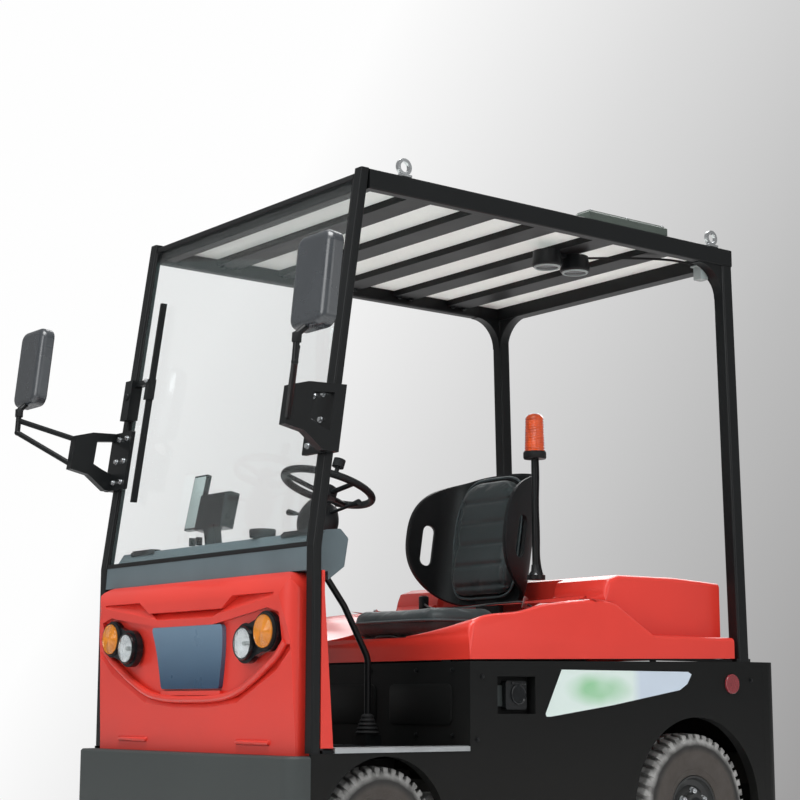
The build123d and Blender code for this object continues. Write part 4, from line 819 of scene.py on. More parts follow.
def tyre(name, centre, tread_r, half, depth, lugs):
    """A tyre: carcass with a beaded sidewall, and two rows of slanting lugs that wrap over the shoulder."""
    base = tread_r - depth
    side = [(half - 14, RIM_R + 0.3), (half - 9, RIM_R + 3), (half - 5, RIM_R + 12), (half - 1.5, RIM_R + 20),
            (half - 3, RIM_R + 22), (half - 0.5, RIM_R + 32), (half + 1.5, (RIM_R + tread_r) / 2),
            (half + 0.5, (RIM_R + tread_r) / 2 + 3), (half + 1, (RIM_R + tread_r) / 2 + 7),
            (half - 2, base - 20), (half - 8, base - 8), (half - 18, base - 1.5)]
    across = [(-y, r) for y, r in reversed(side)]
    carcass = lathe(name, [*side, (0, base), *across, side[0]], centre, (0, 1, 0), 96)
    pitch = 2 * pi * tread_r / lugs
    slant = pitch * 0.34
    lug = box_piece("lug", (-pitch * 0.30, 5, tread_r - depth - 3), (pitch * 0.30, half - 6, tread_r - 0.4),
                    0)
    shifted(lug, lambda v: v.y > 20, (slant, 0, 0))
    shifted(lug, lambda v: v.y > 20 and v.z > tread_r - 3, (0, -3, -3.5))
    wrap = box_piece("lug", (slant - pitch * 0.24, half - 14, tread_r - depth - 26),
                     (slant + pitch * 0.24, half - 2, tread_r - 5), 0)
    shifted(wrap, lambda v: v.y > half - 8 and v.z > tread_r - 10, (0, -5, -3))
    lug = rounded(joined([lug, wrap], "lug"), 1.4, 1)
    other = turned(copied(lug, "lug"), 180, "Z", (0, 0, 0))
    made = []
    for i in range(lugs):
        for part, step in ((lug, i), (other, i + 0.5)):
            turn = Matrix.Translation(mm(*centre)) @ Matrix.Rotation(2 * pi * step / lugs, 4, "Y")
            made.append(copied(part, "lug", turn))
    for part in (lug, other):
        bpy.data.objects.remove(part)
    return smooth(joined([carcass, *made], name), 35)


class TyresOperator(TugOperator):
    """Models the four tyres with their treads."""
    bl_idname = "bagtug.tyres"
    bl_label = "Tyres"

    def execute(self, context):
        sizes = context.scene.tug_sizes
        depth = sizes.tread_depth / MM
        for axle, (x, y, r), half, lugs in (("front", FRONT_AXLE, 54, sizes.lugs_front),
                                            ("rear", REAR_AXLE, 63, sizes.lugs_rear)):
            left = tyre(f"tread_{axle}_left", (x, y, r), r, half, depth, lugs)
            right = copied(left, f"tread_{axle}_right", MIRROR)
            for piece, side in ((left, "left"), (right, "right")):
                finished(piece, f"tyre_{axle}", f"wheel_{axle}_{side}")
                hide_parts(f"tyre_{axle}_{side}")
        return {"FINISHED"}


class WheelFittingsOperator(TugOperator):
    """Adds the wheel nuts, hub caps, beads and valves."""
    bl_idname = "bagtug.wheel_fittings"
    bl_label = "Wheel nuts, hub caps and valves"

    def execute(self, context):
        count = context.scene.tug_sizes.wheel_nuts
        for axle, (x, y, r), half in (("front", FRONT_AXLE, 56), ("rear", REAR_AXLE, 63)):
            face = half - 26
            nut = joined([hex_bolt("nut", (0, face + 6, 53), (0, 1, 0), 17, 12),
                          rod("stud", (0, face + 18, 53), (0, face + 25, 53), 4.5, 12)], "nut")
            nuts = [copied(nut, "nut",
                           Matrix.Translation(mm(x, y, r)) @ Matrix.Rotation(2 * pi * i / count, 4, "Y"))
                    for i in range(count)]
            bpy.data.objects.remove(nut)
            cap = lathe("cap", [(face + 20, 0), (face + 20, 33), (face + 25, 33), (face + 29, 29),
                                (face + 30.5, 18), (face + 31, 0)], (x, y, r), (0, 1, 0), 48)
            ring = lathe("bead", [(half - 18, RIM_R - 0.5), (half - 14, RIM_R - 7), (half - 11, RIM_R - 7),
                                  (half - 10, RIM_R - 2), (half - 12, RIM_R + 0.5), (half - 18, RIM_R - 0.5)],
                         (x, y, r), (0, 1, 0), 72)
            valve = joined([rod("valve", (x + 80, y + face - 6, r + 8), (x + 76, y + face + 18, r + 8), 3.6,
                                12),
                            rod("valve", (x + 76, y + face + 18, r + 8), (x + 75, y + face + 24, r + 8), 4.6,
                                10)],
                           "valve")
            for base, material, piece in (("nuts", "bright_zinc", joined(nuts, "nuts")),
                                          ("hub_cap", "black_abs", cap), ("rim_edge", "rim_paint", ring),
                                          ("valve", "ribbed_rubber", valve)):
                twin = copied(piece, f"{base}_{axle}_right", MIRROR)
                piece.name = f"{base}_{axle}_left"
                finished(piece, material, f"wheel_{axle}_left")
                finished(twin, material, f"wheel_{axle}_right")
        return {"FINISHED"}


def puffed(piece, voxel, cap):
    """Blows a pad up as cloth over foam, keeps each point within a cap of its start, and refines it."""
    applied(piece, "REMESH", mode="VOXEL", voxel_size=voxel * MM)
    start = [vertex.co.copy() for vertex in piece.data.vertices]
    cloth = piece.modifiers.new("cover", "CLOTH")
    cloth.settings.use_pressure = True
    cloth.settings.uniform_pressure_force = 4
    cloth.settings.effector_weights.gravity = 0
    cloth.point_cache.frame_end = 20
    for step in range(1, 21):
        bpy.context.scene.frame_set(step)
    bpy.ops.object.modifier_apply(modifier=cloth.name)
    bpy.context.scene.frame_set(1)
    for vertex, before in zip(piece.data.vertices, start):
        way = vertex.co - before
        if way.length > cap * MM:
            vertex.co = before + way.normalized() * cap * MM
    applied(piece, "SUBSURF", levels=1, render_levels=1)
    return smooth(piece, 80)


def pad_block(name, size, cuts):
    """A block of even faces, to be shaped into a pad: width across Y, length along X, thickness along Z."""
    bpy.ops.object.select_all(action="DESELECT")
    bpy.ops.mesh.primitive_cube_add(size=2)
    block = settle(bpy.context.object, name)
    bpy.ops.object.mode_set(mode="EDIT")
    bpy.ops.mesh.select_all(action="SELECT")
    bpy.ops.mesh.subdivide(number_cuts=cuts)
    bpy.ops.object.mode_set(mode="OBJECT")
    for vertex in block.data.vertices:
        a, b, c = vertex.co
        # rounded corners in plan, then edges that draw in towards the seam at half height
        round_off = max(abs(a), abs(b)) / max(1e-6, (abs(a) ** 5 + abs(b) ** 5) ** 0.2)
        a, b = a * round_off, b * round_off
        edge = max(abs(a), abs(b))
        tuck = 1 - 0.07 * abs(c) ** 3 - 0.02 * (1 - a * a * b * b)
        crown = 1 - 0.22 * edge ** 4
        vertex.co = (a * tuck * size[0] * MM, b * tuck * size[1] * MM, c * crown * size[2] * MM)
    return block


def channelled(piece, lines, axis, span, depth, wide=5.0):
    """Presses sewn channels across the front of a pad, within a half-width of its middle."""
    way = 0 if axis == "X" else 2
    normals = [vertex.normal.copy() for vertex in piece.data.vertices]
    for vertex, out in zip(piece.data.vertices, normals):
        place = vertex.co / MM
        if abs(place.y) > span + 12 or out[2 if axis == "X" else 0] < 0.2:
            continue
        fade = min(1.0, max(0.0, (span + 12 - abs(place.y)) / 12))
        press = sum(exp(-((place[way] - line) / wide) ** 2) for line in lines)
        press += exp(-((abs(place.y) - span) / wide) ** 2) * (lines[0] - 8 < place[way] < lines[-1] + 8)
        vertex.co -= out * min(1.0, press * fade) * depth
    return piece


def crest_z(x):
    """Height of the hood's side crest at x."""
    line = ((-765, 778), (-395, 778), (-216, 878), (-150, 884), (18, 871), (178, 838), (352, 808), (377, 772))
    for (x0, z0), (x1, z1) in zip(line, line[1:]):
        if x <= x1:
            return z0 + (z1 - z0) * max(0.0, x - x0) / (x1 - x0)
    return 772


class HoodOperator(TugOperator):
    """Reworks the hood: shoulders that fall to the seat, a wider raised part and softened crests."""
    bl_idname = "bagtug.hood"
    bl_label = "Hood panels"

    def execute(self, context):
        bpy.ops.object.select_all(action="DESELECT")
        hood = NODES["hood"].copy()
        hood.data = NODES["hood"].data.copy()
        context.collection.objects.link(hood)
        hood.name = "hood_panels"
        hood.data.name = "hood_panels"
        only(hood)
        if hood.data.has_custom_normals:
            bpy.ops.mesh.customdata_custom_splitnormals_clear()
        bpy.ops.object.mode_set(mode="EDIT")
        bpy.ops.mesh.select_all(action="SELECT")
        bpy.ops.mesh.remove_doubles(threshold=0.00002)
        bpy.ops.mesh.dissolve_limited(angle_limit=radians(0.6))
        bpy.ops.object.mode_set(mode="OBJECT")
        for vertex in hood.data.vertices:
            x, y, z = vertex.co / MM
            sheet = 8 if any(abs(abs(y) - inner) < 1 for inner in (592, 492, 308)) else 0
            line = sum(crest_z(x + step) for step in range(-40, 41, 10)) / 9 - sheet
            if -215 < x < 120 and abs(y) > 290 and abs(z - line) < 34 and z < 904:
                z += (line - z) * min(1.0, (120 - x) / 100)
                x = -150 if -162 < x < -140 else x
            above = z - crest_z(x)
            side = 488 < abs(y) < 501 and x < -60 and z > 750
            front = -76 < x < -56 and 290 < abs(y) < 501 and z > 860
            top = above > 6 and abs(y) < 501 and x < -56
            if side or front or top:
                if x > RAISED_KEPT_X:
                    back = RAISED_KEPT_X + (x - RAISED_KEPT_X) * RAISED_PULL
                    if above < 6:
                        z += crest_z(back) - crest_z(x)
                    x = back
                if abs(y) > 480:
                    y *= RAISED_WIDEN
            if 290 < abs(y) and x > -150 and 762 < z < 880:
                fall = min(1.0, (x + 150) / 420)
                z -= (z - DECK_Z) * fall * max(0.0, (HOOD_HALF - abs(y)) / 300)
            vertex.co = mm(x, y, z)
        bpy.ops.object.mode_set(mode="EDIT")
        bpy.ops.mesh.select_all(action="SELECT")
        bpy.ops.mesh.remove_doubles(threshold=0.0005)
        bpy.ops.object.mode_set(mode="OBJECT")
        weight = hood.data.attributes.new("bevel_weight_edge", "FLOAT", "EDGE")
        for edge in hood.data.edges:
            a, b = (hood.data.vertices[i].co / MM for i in edge.vertices)
            crest = min(abs(a.y), abs(b.y)) > 599.5 and min(a.z, b.z) > 765
            raised = 538 < min(abs(a.y), abs(b.y)) < 542 and min(a.z, b.z) > 880
            if a.y * b.y > 0 and (crest or raised):
                weight.data[edge.index].value = 1.0
        applied(hood, "BEVEL", width=15 * MM, segments=3, limit_method="WEIGHT", use_clamp_overlap=False)
        smooth(hood, 32)
        finished(hood, "red_enamel", "hood")
        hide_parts("hood")
        return {"FINISHED"}


class CushionOperator(TugOperator):
    """Makes the padded seat cushion with its sewn channels and piping."""
    bl_idname = "bagtug.seat_cushion"
    bl_label = "Seat cushion"

    def execute(self, context):
        sizes = context.scene.tug_sizes
        pad = pad_block("padded_cushion", (156, 239, 42), 15)
        for vertex in pad.data.vertices:
            a, b = vertex.co.x / (156 * MM), vertex.co.y / (239 * MM)
            if vertex.co.z > 0:
                vertex.co.z += (12 * abs(b) ** 3 - 7 + 5 * a * a - 6 * max(0, a) ** 2) * MM
            else:
                vertex.co.z = max(vertex.co.z, -38 * MM)
        moved(pad, Matrix.Translation(mm(66, 0, 820)))
        puffed(pad, 6.0, 8)
        count = sizes.cushion_channels
        lines = [-52 + i * 210 / (count - 1) for i in range(count)]
        channelled(pad, lines, "X", 150, sizes.channel_depth)
        finished(pad, "seat_vinyl", "hood")
        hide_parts("seat_cushion")
        seam = [(66 + 153 * cos(t) * super_r(t), 235 * sin(t) * super_r(t), 822)
                for t in [2 * pi * i / 64 for i in range(64)]]
        piping = tube("cushion_piping", [*seam, seam[0]], 4.2)
        finished(piping, "seat_piping", "hood")
        return {"FINISHED"}


def super_r(turn):
    """How far a rounded rectangle's edge lies from its middle, in a direction."""
    return 1 / (abs(cos(turn)) ** 5 + abs(sin(turn)) ** 5) ** 0.2


def back_place(across, height, out):
    """A place on the seat back, by its length round the shell, its height, and its distance in from it."""
    side = 1 if across >= 0 else -1
    run = abs(across)
    turn = min(max(run - SHELL_FLAT, 0) / SHELL_BEND, SHELL_TURN)
    rest = max(0.0, run - SHELL_FLAT - SHELL_BEND * SHELL_TURN)
    x = SHELL_BEND * (1 - cos(turn)) + rest * sin(turn) + out * cos(turn)
    y = min(run, SHELL_FLAT) + SHELL_BEND * sin(turn) + rest * cos(turn) - out * sin(turn)
    return (SHELL_X + x * cos(SHELL_LEAN) - height * sin(SHELL_LEAN), side * y,
            SHELL_Z + height * cos(SHELL_LEAN) + x * sin(SHELL_LEAN))


def superellipse(a, b, power):
    """Rounds a place in a square to one in a superellipse."""
    size = max(abs(a), abs(b)) / max(1e-6, (abs(a) ** power + abs(b) ** power) ** (1 / power))
    return a * size, b * size


class SeatShellOperator(TugOperator):
    """Models the seat's moulded shell, with a wing curled forward on each side, its pan and its foot."""
    bl_idname = "bagtug.seat_shell"
    bl_label = "Seat shell"

    def execute(self, context):
        bpy.ops.object.select_all(action="DESELECT")
        bpy.ops.mesh.primitive_grid_add(x_subdivisions=56, y_subdivisions=40, size=2)
        shell = settle(context.object, "seat_shell")
        for vertex in shell.data.vertices:
            a, b = superellipse(vertex.co.x, vertex.co.y, 2.5)
            roll = 10 * max(abs(vertex.co.x), abs(vertex.co.y)) ** 8
            vertex.co = mm(*back_place(a * 384, 230 + b * 228, roll))
        applied(shell, "SOLIDIFY", thickness=14 * MM, offset=0)
        bpy.ops.object.mode_set(mode="EDIT")
        face_outward()
        for side in (1, -1):
            middle = Vector(back_place(side * 324, 206, 0))
            cutter = plate("cutter", 46, 142, 22, 160, middle + Vector((0, -side * 80, 0)),
                           (0.97, side * 0.26, 0), (-0.26, side * 0.97, 0), 0)
            turned(cutter, -9, "Y", tuple(middle))
            applied(shell, "BOOLEAN", operation="DIFFERENCE", object=cutter)
            bpy.data.objects.remove(cutter)
        rounded(shell, 3.0)
        pan = box_piece("pan", (-206, -190, 760.3), (198, 190, 775.7), 5)
        foot = joined([box_piece("foot", (-232, -60, 775.7), (-204, 60, 960), 8),
                       box_piece("foot", (-240, -150, 764), (-150, 150, 800), 8)], "foot")
        whole = joined([shell, pan, foot], "seat_shell")
        finished(whole, "black_abs", "hood")
        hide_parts("seat_frame")
        return {"FINISHED"}


class SeatBackOperator(TugOperator):
    """Makes the padded seat back, bent round the driver, with cross channels."""
    bl_idname = "bagtug.seat_back"
    bl_label = "Seat back"

    def execute(self, context):
        sizes = context.scene.tug_sizes
        pad = pad_block("padded_back", (1000, 1000, 1000), 15)
        for vertex in pad.data.vertices:
            up, across, out = vertex.co
            rise = 232 + up * 206
            narrow = 1 - 0.45 * max(0.0, up - 0.1) ** 2 - 0.12 * max(0.0, -up)
            lumbar = 7 * exp(-((rise - 120) / 60) ** 2)
            place = back_place(across * 190 * narrow, rise, 38 + out * (27 + lumbar * 0.5) + lumbar * 0.5)
            vertex.co = mm(*place)
        only(pad)
        bpy.ops.object.mode_set(mode="EDIT")
        face_outward()
        puffed(pad, 6.0, 7)
        count = sizes.back_channels
        lines = [952 + i * 290 / (count - 1) for i in range(count)]
        channelled(pad, lines, "Z", 130, sizes.channel_depth, 9.0)
        finished(pad, "seat_vinyl", "hood")
        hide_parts("seat_back")
        edge = []
        for i in range(48):
            turn = 2 * pi * i / 48
            up = sin(turn) * super_r(turn)
            narrow = 1 - 0.40 * max(0.0, up - 0.2) ** 2 - 0.10 * max(0.0, -up)
            edge.append(back_place(cos(turn) * super_r(turn) * 191 * narrow, 232 + up * 208, 34))
        piping = tube("back_piping", [*edge, edge[0]], 4.2)
        finished(piping, "seat_piping", "hood")
        return {"FINISHED"}


class SeatTrimOperator(TugOperator):
    """Adds the seat's slides, belt, buckle, retractor and handle."""
    bl_idname = "bagtug.seat_trim"
    bl_label = "Seat slides and belt"

    def execute(self, context):
        slide = joined([box_piece("slide", (-190, 172, 761), (160, 196, 768), 1.5),
                        box_piece("slide", (-170, 177, 766), (120, 191, 776), 1.5)], "seat_slide")
        pair(slide, "bright_zinc", "hood")
        lever = tube("slide_lever", [(90, -60, 770), (190, -60, 768), (232, -50, 772), (236, 0, 774),
                                     (232, 50, 772), (190, 60, 768), (90, 60, 770)], 4.5)
        finished(lever, "guard_enamel", "hood")
        reel = joined([box_piece("reel", (-236, 226, 800), (-172, 262, 872), 8),
                       box_piece("reel", (-224, 232, 762), (-186, 250, 806), 3)], "belt_reel")
        finished(reel, "black_abs", "hood")
        stalk = joined([box_piece("stalk", (-146, -262, 772), (-134, -250, 876), 2.5),
                        box_piece("stalk", (-156, -268, 872), (-124, -246, 930), 5)], "buckle_stalk")
        finished(stalk, "black_abs", "hood")
        press = box_piece("buckle_press", (-150, -264, 928), (-130, -250, 933), 1.2)
        finished(press, "signal_red", "hood")
        lap = tube("lap_belt", [(-204, 244, 868), (-150, 250, 892), (-90, 244, 884), (-40, 216, 880),
                                (-60, 120, 878), (-110, 0, 880), (-120, -120, 880), (-126, -220, 886),
                                (-138, -252, 905)], 3.2, 3)
        finished(lap, "belt_webbing", "hood")
        tongue = plate("belt_tongue", 26, 46, 5, 3, (-150, 254, 884), (0.8, 0.2, 0.3), (0.1, 1, 0.1))
        finished(tongue, "bright_zinc", "hood")
        foot = bolts("seat_bolts", [(x, y, 770) for x in (-180, 150) for y in (-212, 212)], (0, 0, 1), 13, 6)
        finished(foot, "bright_zinc", "hood")
        return {"FINISHED"}


class HeadlampsOperator(TugOperator):
    """Models the headlamps: bowl, bulb shield, lens and bezel."""
    bl_idname = "bagtug.headlamps"
    bl_label = "Headlamps"

    def execute(self, context):
        centre = (0, 330, 729)
        way = (1, 0, 0)
        bowl = lathe("headlamp_bowl", [(981, 6), (981.5, 12), (983, 22), (986, 32), (990, 39), (990, 41),
                                       (980.3, 41), (980.3, 0), (981, 0), (981, 6)], centre, way)
        bulb = lathe("headlamp_bulb", [(981, 0), (981, 7), (985, 7), (987, 5), (988, 0)], centre, way, 24)
        lens = lathe("headlamp_lens", [(990.4, 42), (990.4, 40), (993, 36), (994.2, 24), (994.6, 0), (996, 0),
                                       (995.6, 24), (994.4, 37), (992, 42), (990.4, 42)], centre, way)
        bezel = lathe("headlamp_bezel", [(980.2, 42.3), (992, 42.3), (993, 43.5), (992, 47), (986, 49),
                                         (980.2, 49), (980.2, 42.3)], centre, way)
        pair(bowl, "chrome")
        pair(bulb, "panel_pale")
        for piece in pair(lens, "clear_lens"):
            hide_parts("headlamps")
        pair(bezel, "glossy_abs")
        return {"FINISHED"}


class IndicatorsOperator(TugOperator):
    """Models the amber indicators with ring ribs and a rubber rim."""
    bl_idname = "bagtug.indicators"
    bl_label = "Indicators"

    def execute(self, context):
        centre = (0, 432, 760)
        way = (1, 0, 0)
        front = []
        for i in range(9):
            out = 44 - i * 4.6
            top = 996.2 - 0.0042 * out * out * 0.9
            front += [(top - 1.1, out), (top, out - 2.0), (top - 1.1, out - 4.0)]
        profile = [(980.3, 0), (980.3, 47), (985, 47), (990, 46), *front, (996.6, 0)]
        lens = lathe("indicator_lens", profile, centre, way, 56)
        for piece in pair(lens, "amber_lens"):
            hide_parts("indicators")
        rim = lathe("indicator_rim", [(980.2, 47.3), (988, 47.3), (989, 48.4), (988, 51), (980.2, 52),
                                      (980.2, 47.3)],
                    centre, way, 56)
        pair(rim, "ribbed_rubber")
        return {"FINISHED"}


class BeaconOperator(TugOperator):
    """Models the ribbed beacon lens and its base ring, with the pole's collar, lead and screws."""
    bl_idname = "bagtug.beacon"
    bl_label = "Beacon"

    def execute(self, context):
        ribs = context.scene.tug_sizes.beacon_ribs
        step = 104 / ribs
        side = []
        for i in range(ribs):
            low = 1379 + i * step
            out = 32.6 - (low - 1372) * 0.026
            side += [(low, out - 1.3), (low + step * 0.3, out), (low + step * 0.7, out)]
        top = [(1484, 28.0), (1491, 24), (1495.5, 15), (1496.6, 0)]
        profile = [(1372.3, 0), (1372.3, 33), (1377, 33), *side, *top]
        lens = lathe("beacon_dome", profile, (-132, 330, 0), (0, 0, 1), 56)
        finished(lens, "beacon_lens", "hood")
        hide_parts("beacon_lens")
        skirt = lathe("beacon_skirt", [(1350, 36.3), (1352, 37.5), (1368, 37.5), (1371.6, 35), (1371.6, 30),
                                       (1349, 30), (1350, 36.3)], (-132, 330, 0), (0, 0, 1), 56)
        finished(skirt, "ribbed_rubber", "hood")
        collar = lathe("pole_collar", [(970, 12.2), (970, 22), (976, 22), (984, 16), (1004, 14.5),
                                       (1004, 12.2), (970, 12.2)], (-132, 330, 0), (0, 0, 1), 40)
        finished(collar, "black_abs", "hood")
        lead = tube("beacon_lead", [(-132, 345, 1350), (-134, 347, 1300), (-130, 345, 1200),
                                    (-134, 346, 1100), (-132, 345, 1010), (-140, 352, 972)], 2.6, 3)
        finished(lead, "ribbed_rubber", "hood")
        screws = bolts("pole_screws", [(-132 + 23 * cos(t), 330 + 23 * sin(t), 970) for t in (0.8, 2.9, 5.0)],
                       (0, 0, 1), 8, 4)
        finished(screws, "bright_zinc", "hood")
        return {"FINISHED"}


def nose_x(z):
    """x of the nose's outer face at height z."""
    heights = ((420, 952), (600, 960), (740, 968), (858, 983))
    for (z0, x0), (z1, x1) in zip(heights, heights[1:]):
        if z <= z1:
            return x0 + (x1 - x0) * (z - z0) / (z1 - z0)
    return 983


class NoseRidgesOperator(TugOperator):
    """Adds the rounded ridge that runs under the lamps and the plate, and the two low ledges."""
    bl_idname = "bagtug.nose_ridges"
    bl_label = "Nose ridges"

    def execute(self, context):
        route = [(-506, 732), (-478, 704), (-440, 680), (-345, 630), (-255, 592), (-175, 578), (-90, 573)]
        route += [(0, 573)] + [(-y, z) for y, z in reversed(route)]
        lip = tube("nose_lip", [(nose_x(z) - 5, y, z) for y, z in route], 11, 6)
        finished(lip, "red_enamel")
        ledge = joined([box_piece("ledge", (944, 250, 446), (961, 420, 462), 6)], "nose_ledge")
        shifted(ledge, lambda v: v.z > 456 and v.x > 955, (-6, 0, 0))
        pair(ledge, "red_enamel")
        return {"FINISHED"}


class RearLampsOperator(TugOperator):
    """Adds bezels, screws, a blank number plate with its lamp, and rear reflectors."""
    bl_idname = "bagtug.rear_lamps"
    bl_label = "Rear lamps and number plate"

    def execute(self, context):
        ring = plate("rear_lamp_seal", 78, 138, 14, 5, (-980.4, 470, 610), (0, 1, 0), (-1, 0, 0))
        screws = joined([rod("screw", (-1006, 470, z), (-1007.5, 470, z), 3.6, 16, 0.4) for z in (566, 654)],
                        "rear_lamp_screws")
        pair(ring, "ribbed_rubber")
        pair(screws, "bright_zinc")
        number = plate("number_plate", 300, 110, 8, 3, (-982, 230, 500), (0, -1, 0), (-1, 0, 0))
        finished(number, "blank_plate")
        holder = plate("plate_holder", 316, 124, 10, 2, (-980.2, 230, 500), (0, -1, 0), (-1, 0, 0))
        finished(holder, "black_abs")
        lamp = box_piece("plate_lamp", (-1002, 195, 566), (-980.4, 265, 586), 5)
        finished(lamp, "glossy_abs")
        reflex = lathe("rear_reflector", [(-980.3, 0), (-980.3, 30), (-985, 30), (-987, 27), (-987.6, 0)],
                       (0, 380, 500), (1, 0, 0), 40)
        pair(reflex, "red_reflex")
        return {"FINISHED"}


class MirrorsOperator(TugOperator):
    """Adds mirror glass, its frame, the pivot boss and the clamp bolts."""
    bl_idname = "bagtug.mirrors"
    bl_label = "Mirrors"

    def execute(self, context):
        lean = radians(6)
        out = Vector((cos(lean), 0, sin(lean)))
        middle = Vector((1095, 819, 1671))
        rim = plate("mirror_rim", 156, 260, 32, 3, middle - out * 23, (0, 1, 0), -out)
        glass = plate("mirror_glass", 142, 246, 27, 2, middle - out * 25.4, (0, 1, 0), -out, 0.4)
        pair(rim, "glossy_abs")
        pair(glass, "mirror")
        cap = lathe("mirror_boss", [(0, 0), (0, 17), (6, 17), (9, 13), (10, 0)],
                    tuple(middle + out * 16 + Vector((0, 0, -92))), out, 32)
        pair(cap, "black_abs")
        places = [(on_glass(z, -14) - 0.5, y, z) for z in (1275, 1345, 1420) for y in (530, 578)]
        clamp = bolts("mirror_bolts", places, (cos(PILLAR_LEAN), 0, sin(PILLAR_LEAN)), 13, 7)
        pair(clamp, "bright_zinc")
        sleeve = rod("mirror_sleeve", (1146, 807, 1500), (1145, 808, 1526), 13, 20, 1.5)
        pair(sleeve, "ribbed_rubber")
        return {"FINISHED"}


class SideFilmOperator(TugOperator):
    """Adds the plain printed film on both sides."""
    bl_idname = "bagtug.side_film"
    bl_label = "Side film"

    def execute(self, context):
        outline = [(14, 664), (-260, 664), (-540, 664), (-556, 656), (-536, 626), (-500, 606), (-200, 558),
                   (60, 524), (78, 524), (82, 532)]
        film = cutout("side_film", [(x, 600.3, z) for x, z in outline], (0, 0.4, 0))
        pair(film, "side_film")
        return {"FINISHED"}


class GlazingOperator(TugOperator):
    """Adds the windscreen's rubber seals, and the wiper's blade and motor cap."""
    bl_idname = "bagtug.glazing"
    bl_label = "Windscreen seals and wiper blade"

    def execute(self, context):
        seals = [glass_strip("seal", 555, 563.5, 992, 2086, 7, 4),
                 glass_strip("seal", -563.5, -555, 992, 2086, 7, 4),
                 glass_strip("seal", -563, 563, 991, 1004, 6.5, 5),
                 glass_strip("seal", -563, 563, 2070, 2087, 7, 4)]
        finished(joined(seals, "windscreen_seal"), "ribbed_rubber")
        blade = joined([glass_strip("blade", -444, -440, 1206, 1862, 7.2, 1.6, 0.3),
                        glass_strip("blade", -446, -438, 1206, 1862, -12, 3, 0.8)], "wiper_blade")
        finished(blade, "ribbed_rubber")
        cap = rod("wiper_cap", (on_glass(1560, -28), -541, 1560), (on_glass(1560, -38), -541, 1560), 13, 24,
                  2)
        finished(cap, "black_abs")
        washers = bolts("wiper_nuts", [(on_glass(1602, -24), -442, 1602)], (1, 0, 0.14), 10, 5)
        finished(washers, "bright_zinc")
        return {"FINISHED"}


class DashboardOperator(TugOperator):
    """Adds the display glass, gauges, switches, key and vents."""
    bl_idname = "bagtug.dashboard"
    bl_label = "Dashboard fittings"

    def execute(self, context):
        def leaning(piece, centre):
            return turned(piece, -12, "Y", centre)

        centre = (836, -60, 1142)
        screen = leaning(plate("display_screen", 140, 84, 5, 1.6, (818.6, -60, 1148), (0, -1, 0), (-1, 0, 0)),
                         centre)
        finished(screen, "screen")
        keys = leaning(joined([box_piece("key", (816.6, -60 + y - 8, 1092), (819.6, -60 + y + 8, 1100), 1.2)
                               for y in (-56, -28, 0, 28, 56)], "display_keys"), centre)
        finished(keys, "panel_pale")
        panel_at = (830, -180, 1180)
        card = leaning(plate("document_panel", 66, 166, 5, 1.6, (821.6, -180, 1180), (0, -1, 0), (-1, 0, 0)),
                       panel_at)
        finished(card, "panel_pale")
        front = leaning(plate("panel_front", 66, 166, 5, 1.2, (838.2, -180, 1180), (0, 1, 0), (1, 0, 0)),
                        panel_at)
        finished(front, "panel_pale")
        clips = [box_piece("clip", (826, y - 5, 1046), (846, y + 5, 1072), 2) for y in (-200, -160)]
        finished(joined(clips, "panel_clips"), "black_abs")
        facing = Vector((-1, 0, 0.35)).normalized()
        gauge = lathe("gauge_ring", [(0, 0), (0, 44), (6, 44), (8, 42), (8, 38), (3, 37), (3, 0)],
                      (798, 130, 985), facing, 48)
        finished(gauge, "glossy_abs")
        dial = rod("gauge_face", Vector((798, 130, 985)) + facing * 3.2,
                   Vector((798, 130, 985)) + facing * 4.4, 36.5, 48)
        finished(dial, "dial_face")
        needle = joined([rod("needle", Vector((798, 130, 985)) + facing * 4.6,
                             Vector((798, 130, 985)) + facing * 8, 4, 16),
                         rod("needle", Vector((798, 130, 985)) + facing * 6,
                             Vector((806, 148, 1008)) + facing * 6, 1.3, 8)],
                        "gauge_needle")
        finished(needle, "signal_red")
        rockers = []
        for i, y in enumerate((-300, -262, -224, 224, 262, 300)):
            cell = box_piece("rocker", (794, y - 12, 968), (803, y + 12, 1006), 2)
            shifted(cell, lambda v: v.x < 800 and v.z > 990, (-3, 0, 0))
            rockers.append(cell)
        finished(joined(rockers, "rocker_switches"), "glossy_abs")
        frames = [box_piece("frame", (796, y - 56, 960), (802, y + 56, 1014), 3) for y in (-262, 262)]
        finished(joined(frames, "switch_frames"), "black_abs")
        key = joined([rod("key", (800, 60, 975), (786, 60, 970), 13, 28, 1.5),
                      box_piece("key", (764, 57, 958), (787, 63, 982), 2.5)], "ignition_key")
        finished(key, "bright_zinc")
        stop = joined([rod("stop", (802, -120, 975), (790, -120, 971), 9, 24),
                       rod("stop", (791, -120, 971), (776, -120, 966), 20, 32, 4)], "stop_button")
        finished(stop, "signal_red")
        vents = []
        for y in (-430, 430):
            vents.append(box_piece("vent", (876, y - 70, 1030), (884, y + 70, 1042), 2))
            for i in range(7):
                vents.append(box_piece("vent", (850 + i * 5, y - 62, 1040), (852 + i * 5, y + 62, 1046.5),
                                       0.6))
        finished(joined(vents, "screen_vents"), "black_abs")
        holder = joined([lathe("holder", [(1046, 0), (1046, 34), (1066, 36), (1068, 38), (1064, 40),
                                          (1043, 38), (1043, 0)],
                               (846, 210, 0), (0, 0, 1), 40)], "tray_cup")
        finished(holder, "black_abs")
        return {"FINISHED"}


